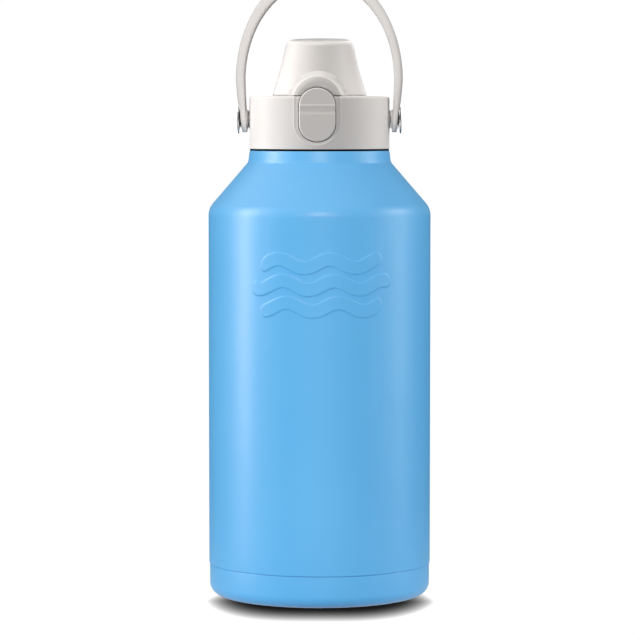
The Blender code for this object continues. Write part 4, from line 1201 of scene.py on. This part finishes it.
def make_pivots():
    """Domed heads with their shanks, and flanged bushes. The flange stands just clear of the strap's face."""
    rim_high, shank_end_x, flange_r, bush_r, flange_x = 0.0005, 0.0346, 0.0043, 0.0030, SPOT_FACE_X + 0.00005
    rise = HEAD_END_X - HEAD_RIM_X - rim_high
    dome = []
    for angle in np.radians(np.linspace(0.0, 90.0, 20)).tolist():
        dome.append((HEAD_R * math.sin(angle), HEAD_RIM_X + rim_high + rise * math.cos(angle) ** 1.15))
    head_outline = dome + rounded([
        (HEAD_R, HEAD_RIM_X + rim_high - 0.0001),
        (HEAD_R, HEAD_RIM_X, 0.0002),
        (SHANK_R, HEAD_RIM_X),
        (SHANK_R, shank_end_x, 0.0003),
        (0.0, shank_end_x),
    ], 4)
    bush_outline = rounded([
        (SHANK_R + GAP, HEAD_RIM_X - GAP),
        (flange_r, HEAD_RIM_X - GAP, 0.0001),
        (flange_r, flange_x),
        (bush_r, flange_x),
        (bush_r, BOSS_END_X + GAP),
        (SHANK_R + GAP, BOSS_END_X + GAP),
    ], 3)
    centre = (0.0, 0.0, PIVOT_Z)
    for side, axis in (("left", "-X"), ("right", "X")):
        head = turned(f"pivot_head_{side}", head_outline, even_turn(96), axis, centre)
        dress(head, "head_steel", "lid", f"handle_rivet_{side}")
        bush = turned(f"pivot_bush_{side}", bush_outline, even_turn(64), axis, centre)
        dress(bush, "nylon", "lid", f"handle_bush_{side}")


# ---- Studio ----

WHITE = (1.0, 1.0, 1.0, 1.0)
WARM = (1.0, 0.78, 0.62)
BACKDROP = 1.02
ROOM_COLOUR = (1.0, 0.99, 0.98, 1.0)
ROOM_STRENGTH = 0.50
ROOM_REFLECTED = 0.22
# The floor's dark patch about the foot is a painted shadow: these sizes set it, the jug does not cast it.
SHADOW_X = 0.0016
SHADOW_Y = -0.030
SHADOW_HALF_X = 0.060
SHADOW_HALF_Y = 0.067
SHADOW_DEPTH = 0.99
PALER_FROM = 0.18
PALER_OVER = 0.30
PALER_BY = 0.65
# The floor's glow for glossy rays is painted light: it paints a sheen on the jug's lower body.
FLOOR_GLOW = 3.4
GLOW_AHEAD = 0.50
GLOW_REACH = 0.38


def by_ray(tree, to_camera, to_glossy, to_others):
    """One shader for camera rays, one for glossy rays and one for all the others."""
    ray = tree.nodes.new("ShaderNodeLightPath")
    shader = to_others
    for kind, wanted in (("Is Glossy Ray", to_glossy), ("Is Camera Ray", to_camera)):
        inputs = {0: ray.outputs[kind], 1: shader, 2: wanted}
        shader = add_node(tree, "ShaderNodeMixShader", inputs).outputs[0]
    return shader


def white_floor():
    """White to the camera, pale grey to diffuse rays, and a painted glow before the foot that only
    reflections see, which paints a sheen on the jug's lower body.

    The soft dark shadow about the foot is painted shade worked out on the floor, not cast by the jug, and it
    is paler when it is seen from higher up.
    """
    finish = Finish("pale_floor")
    finish.set("Roughness", 0.85)
    finish.tint(finish.noise(6.0), (0.76, 0.76, 0.76), (0.78, 0.78, 0.78))
    place = finish.axes(finish.where)
    maths = finish.maths

    def falloff(axis, centre, reach, power):
        away = maths("ABSOLUTE", maths("SUBTRACT", place[axis], centre))
        return maths("POWER", maths("DIVIDE", away, reach), power)

    def glow(strength):
        return finish.add("ShaderNodeEmission", {"Strength": strength}).outputs[0]

    # Painted shadow: the floor is darker the nearer a point lies to a fixed spot before the foot.
    sideways, inwards = falloff("X", SHADOW_X, SHADOW_HALF_X, 3.2), falloff("Y", SHADOW_Y, SHADOW_HALF_Y, 1.4)
    level = maths("DIVIDE", maths("SUBTRACT", maths("ADD", sideways, inwards), 0.25), 0.75, clamp=True)
    seen_from = finish.axes(finish.add("ShaderNodeNewGeometry", {}).outputs["Incoming"])
    paler = maths("DIVIDE", maths("SUBTRACT", seen_from["Z"], PALER_FROM), PALER_OVER, clamp=True)
    depth = maths("SUBTRACT", SHADOW_DEPTH, maths("MULTIPLY", paler, PALER_BY))
    dark = maths("MULTIPLY", maths("SUBTRACT", 1.0, maths("POWER", level, 2.2)), depth)
    shade = maths("MULTIPLY", maths("SUBTRACT", 1.0, dark), BACKDROP)
    # Painted glow: emission that only glossy rays see, brightest before the foot.
    before = maths("DIVIDE", maths("ADD", place["Y"], GLOW_AHEAD), GLOW_REACH)
    beside = maths("DIVIDE", place["X"], GLOW_REACH / 2)
    from_spot = maths("ADD", maths("POWER", before, 4.0), maths("POWER", beside, 2.0))
    reflected = maths("DIVIDE", FLOOR_GLOW, maths("ADD", from_spot, 1.0))
    surface = by_ray(finish.tree, glow(shade), glow(reflected), finish.shader.outputs[0])
    finish.tree.links.new(surface, finish.tree.nodes["Material Output"].inputs["Surface"])
    return finish.material


def make_floor():
    half = 12.0
    points = [(-half, -half, 0.0), (half, -half, 0.0), (half, half, 0.0), (-half, half, 0.0)]
    floor = add_mesh("studio_floor", points, [(0, 1, 2, 3)])
    floor.data.materials.append(white_floor())
    floor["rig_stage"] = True


def make_world():
    """White to the camera, a dark room to reflections and a grey one to diffuse rays."""
    world = bpy.data.worlds.new("studio")
    world.use_nodes = True
    tree = world.node_tree
    room = tree.nodes["Background"]
    room.inputs["Color"].default_value = ROOM_COLOUR
    room.inputs["Strength"].default_value = ROOM_STRENGTH
    backdrop = add_node(tree, "ShaderNodeBackground", {"Color": WHITE, "Strength": BACKDROP})
    dark = add_node(tree, "ShaderNodeBackground", {"Color": WHITE, "Strength": ROOM_REFLECTED})
    surface = by_ray(tree, backdrop.outputs[0], dark.outputs[0], room.outputs[0])
    tree.links.new(surface, tree.nodes["World Output"].inputs["Surface"])
    bpy.context.scene.world = world


def area_light(name, around, up, distance, width, height, power, aim_z=0.17):
    """An area light that faces the jug's axis. around is 0 at the front and grows to the right."""
    around, up = math.radians(around), math.radians(up)
    out = distance * math.cos(up)
    place = Vector((out * math.sin(around), -out * math.cos(around), aim_z + distance * math.sin(up)))
    data = bpy.data.lights.new(name, "AREA")
    data.shape = "RECTANGLE"
    data.size, data.size_y = width, height
    data.energy = power
    light = bpy.data.objects.new(name, data)
    light.location = place
    light.rotation_euler = (Vector((0.0, 0.0, aim_z)) - place).to_track_quat("-Z", "Y").to_euler()
    bpy.context.scene.collection.objects.link(light)
    light.visible_camera = False
    return light


def pieces_on(name, bodies):
    """A collection of the pieces that ride on these bodies, for a light that only reaches them."""
    group = bpy.data.collections.new(name)
    for obj in bpy.context.scene.objects:
        if obj.type == "MESH" and obj.get("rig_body") in bodies:
            group.objects.link(obj)
    return group


def make_lights():
    """Body, lid, handle and pivot heads have lights of their own. Glossy ones only show as reflections."""
    body = pieces_on("lit_as_body", ("bottle",))
    lid = pieces_on("lit_as_lid", ("lid", "cap", "button", "handle"))
    shell = pieces_on("lit_as_shell", ("lid", "cap", "button"))
    strap = pieces_on("lit_as_handle", ("handle",))
    heads = bpy.data.collections.new("lit_as_heads")
    for obj in bpy.context.scene.objects:
        if obj.name.startswith("pivot_head"):
            heads.objects.link(obj)
    handle_z = 0.285
    # Name, angle round the jug, angle up, distance, width, height, power and the height it aims at.
    lamps = {
        ("diffuse", body): (
            ("body_left", -60, 12, 1.5, 0.9, 0.9, 15.0),
            ("body_front", 8, 15, 1.5, 0.9, 0.9, 4.7),
            ("body_right", 75, 12, 1.5, 0.9, 0.9, 10.0),
        ),
        ("glossy", body): (
            ("body_strip_left", -79, 2, 0.75, 0.15, 1.20, 8.8),
            ("body_strip_right", 91, 2, 0.75, 0.12, 1.20, 3.2),
            ("high_left", -82, 25, 1.9, 0.16, 0.16, 6.0),
            ("high_front", 2, 25, 1.9, 0.16, 0.16, 13.0),
            ("high_right", 98, 25, 1.9, 0.16, 0.16, 6.0),
            ("body_above", -90, 75, 1.6, 3.0, 3.0, 40.0),
        ),
        ("diffuse", shell): (
            ("lid_left", -79, 10, 1.1, 0.7, 0.7, 15.5),
            ("lid_right", 90, 10, 1.1, 0.7, 0.7, 7.0),
        ),
        ("glossy", lid): (
            ("lid_strip_left", -100, 12, 1.1, 0.3, 0.7, 2.0),
            ("lid_strip_right", 115, 12, 1.1, 0.3, 0.7, 1.5),
        ),
        ("glossy", shell): (
            ("lid_rim_left", -155, 30, 1.2, 0.8, 0.8, 4.0),
            ("lid_rim_right", 155, 30, 1.2, 0.8, 0.8, 7.0),
        ),
        ("both", lid): (
            ("lid_above", 0, 80, 1.5, 0.8, 0.8, 10.4),
        ),
        ("diffuse", strap): (
            ("handle_left", -50, 8, 0.30, 0.10, 0.20, 0.22, handle_z),
            ("handle_middle", 0, 0, 0.11, 0.03, 0.10, 0.045, handle_z),
            ("handle_front", -10, 12, 1.5, 0.8, 0.8, 4.2),
        ),
        ("glossy", heads): (
            ("heads_left", -150, 8, 1.1, 0.9, 0.9, 16.0),
            ("heads_right", 150, 8, 1.1, 0.9, 0.9, 8.0),
        ),
    }
    for (rays, group), rows in lamps.items():
        for row in rows:
            light = area_light(*row)
            light.light_linking.receiver_collection = group
            light.visible_diffuse = rays != "glossy"
            light.visible_glossy = rays != "diffuse"
            if group is body and rays == "glossy":
                light.data.color = WARM


def make_camera():
    """Level with the lid, a long lens, tipped down a little and a touch to the right."""
    distance, height, aim = 1.65, 0.255, Vector((0.00025, 0.0, 0.1464))
    around = math.radians(2.0)
    data = bpy.data.cameras.new("camera")
    data.lens = 174.5
    data.sensor_width = 36.0
    camera = bpy.data.objects.new("camera", data)
    place = Vector((distance * math.sin(around), -distance * math.cos(around), height))
    camera.location = place
    camera.rotation_euler = (aim - place).to_track_quat("-Z", "Y").to_euler()
    bpy.context.scene.collection.objects.link(camera)
    bpy.context.scene.camera = camera
    bpy.context.scene.view_settings.view_transform = "Standard"


# ---- Assembly ----

make_outer_shell()
make_base_cup()
make_base_disc()
dress_node("vacuum_seal", "seal_glass")
dress_node("vacuum_getter", "getter_metal")
make_inner_liner()
make_gasket()
make_lid_seal()
make_lid_collar()
make_lid_insert()
make_flip_cap()
make_cap_liner()
make_spout_seal()
make_pins()
make_cap_spring()
make_release_button()
make_button_spring()
make_handle_strap()
make_pivots()
make_floor()
make_world()
make_lights()
make_camera()

boxes = {"cad": cad_bounds, "visual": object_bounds()}
{key: [[float(v) for v in corner] for corner in box] for key, box in boxes.items()}
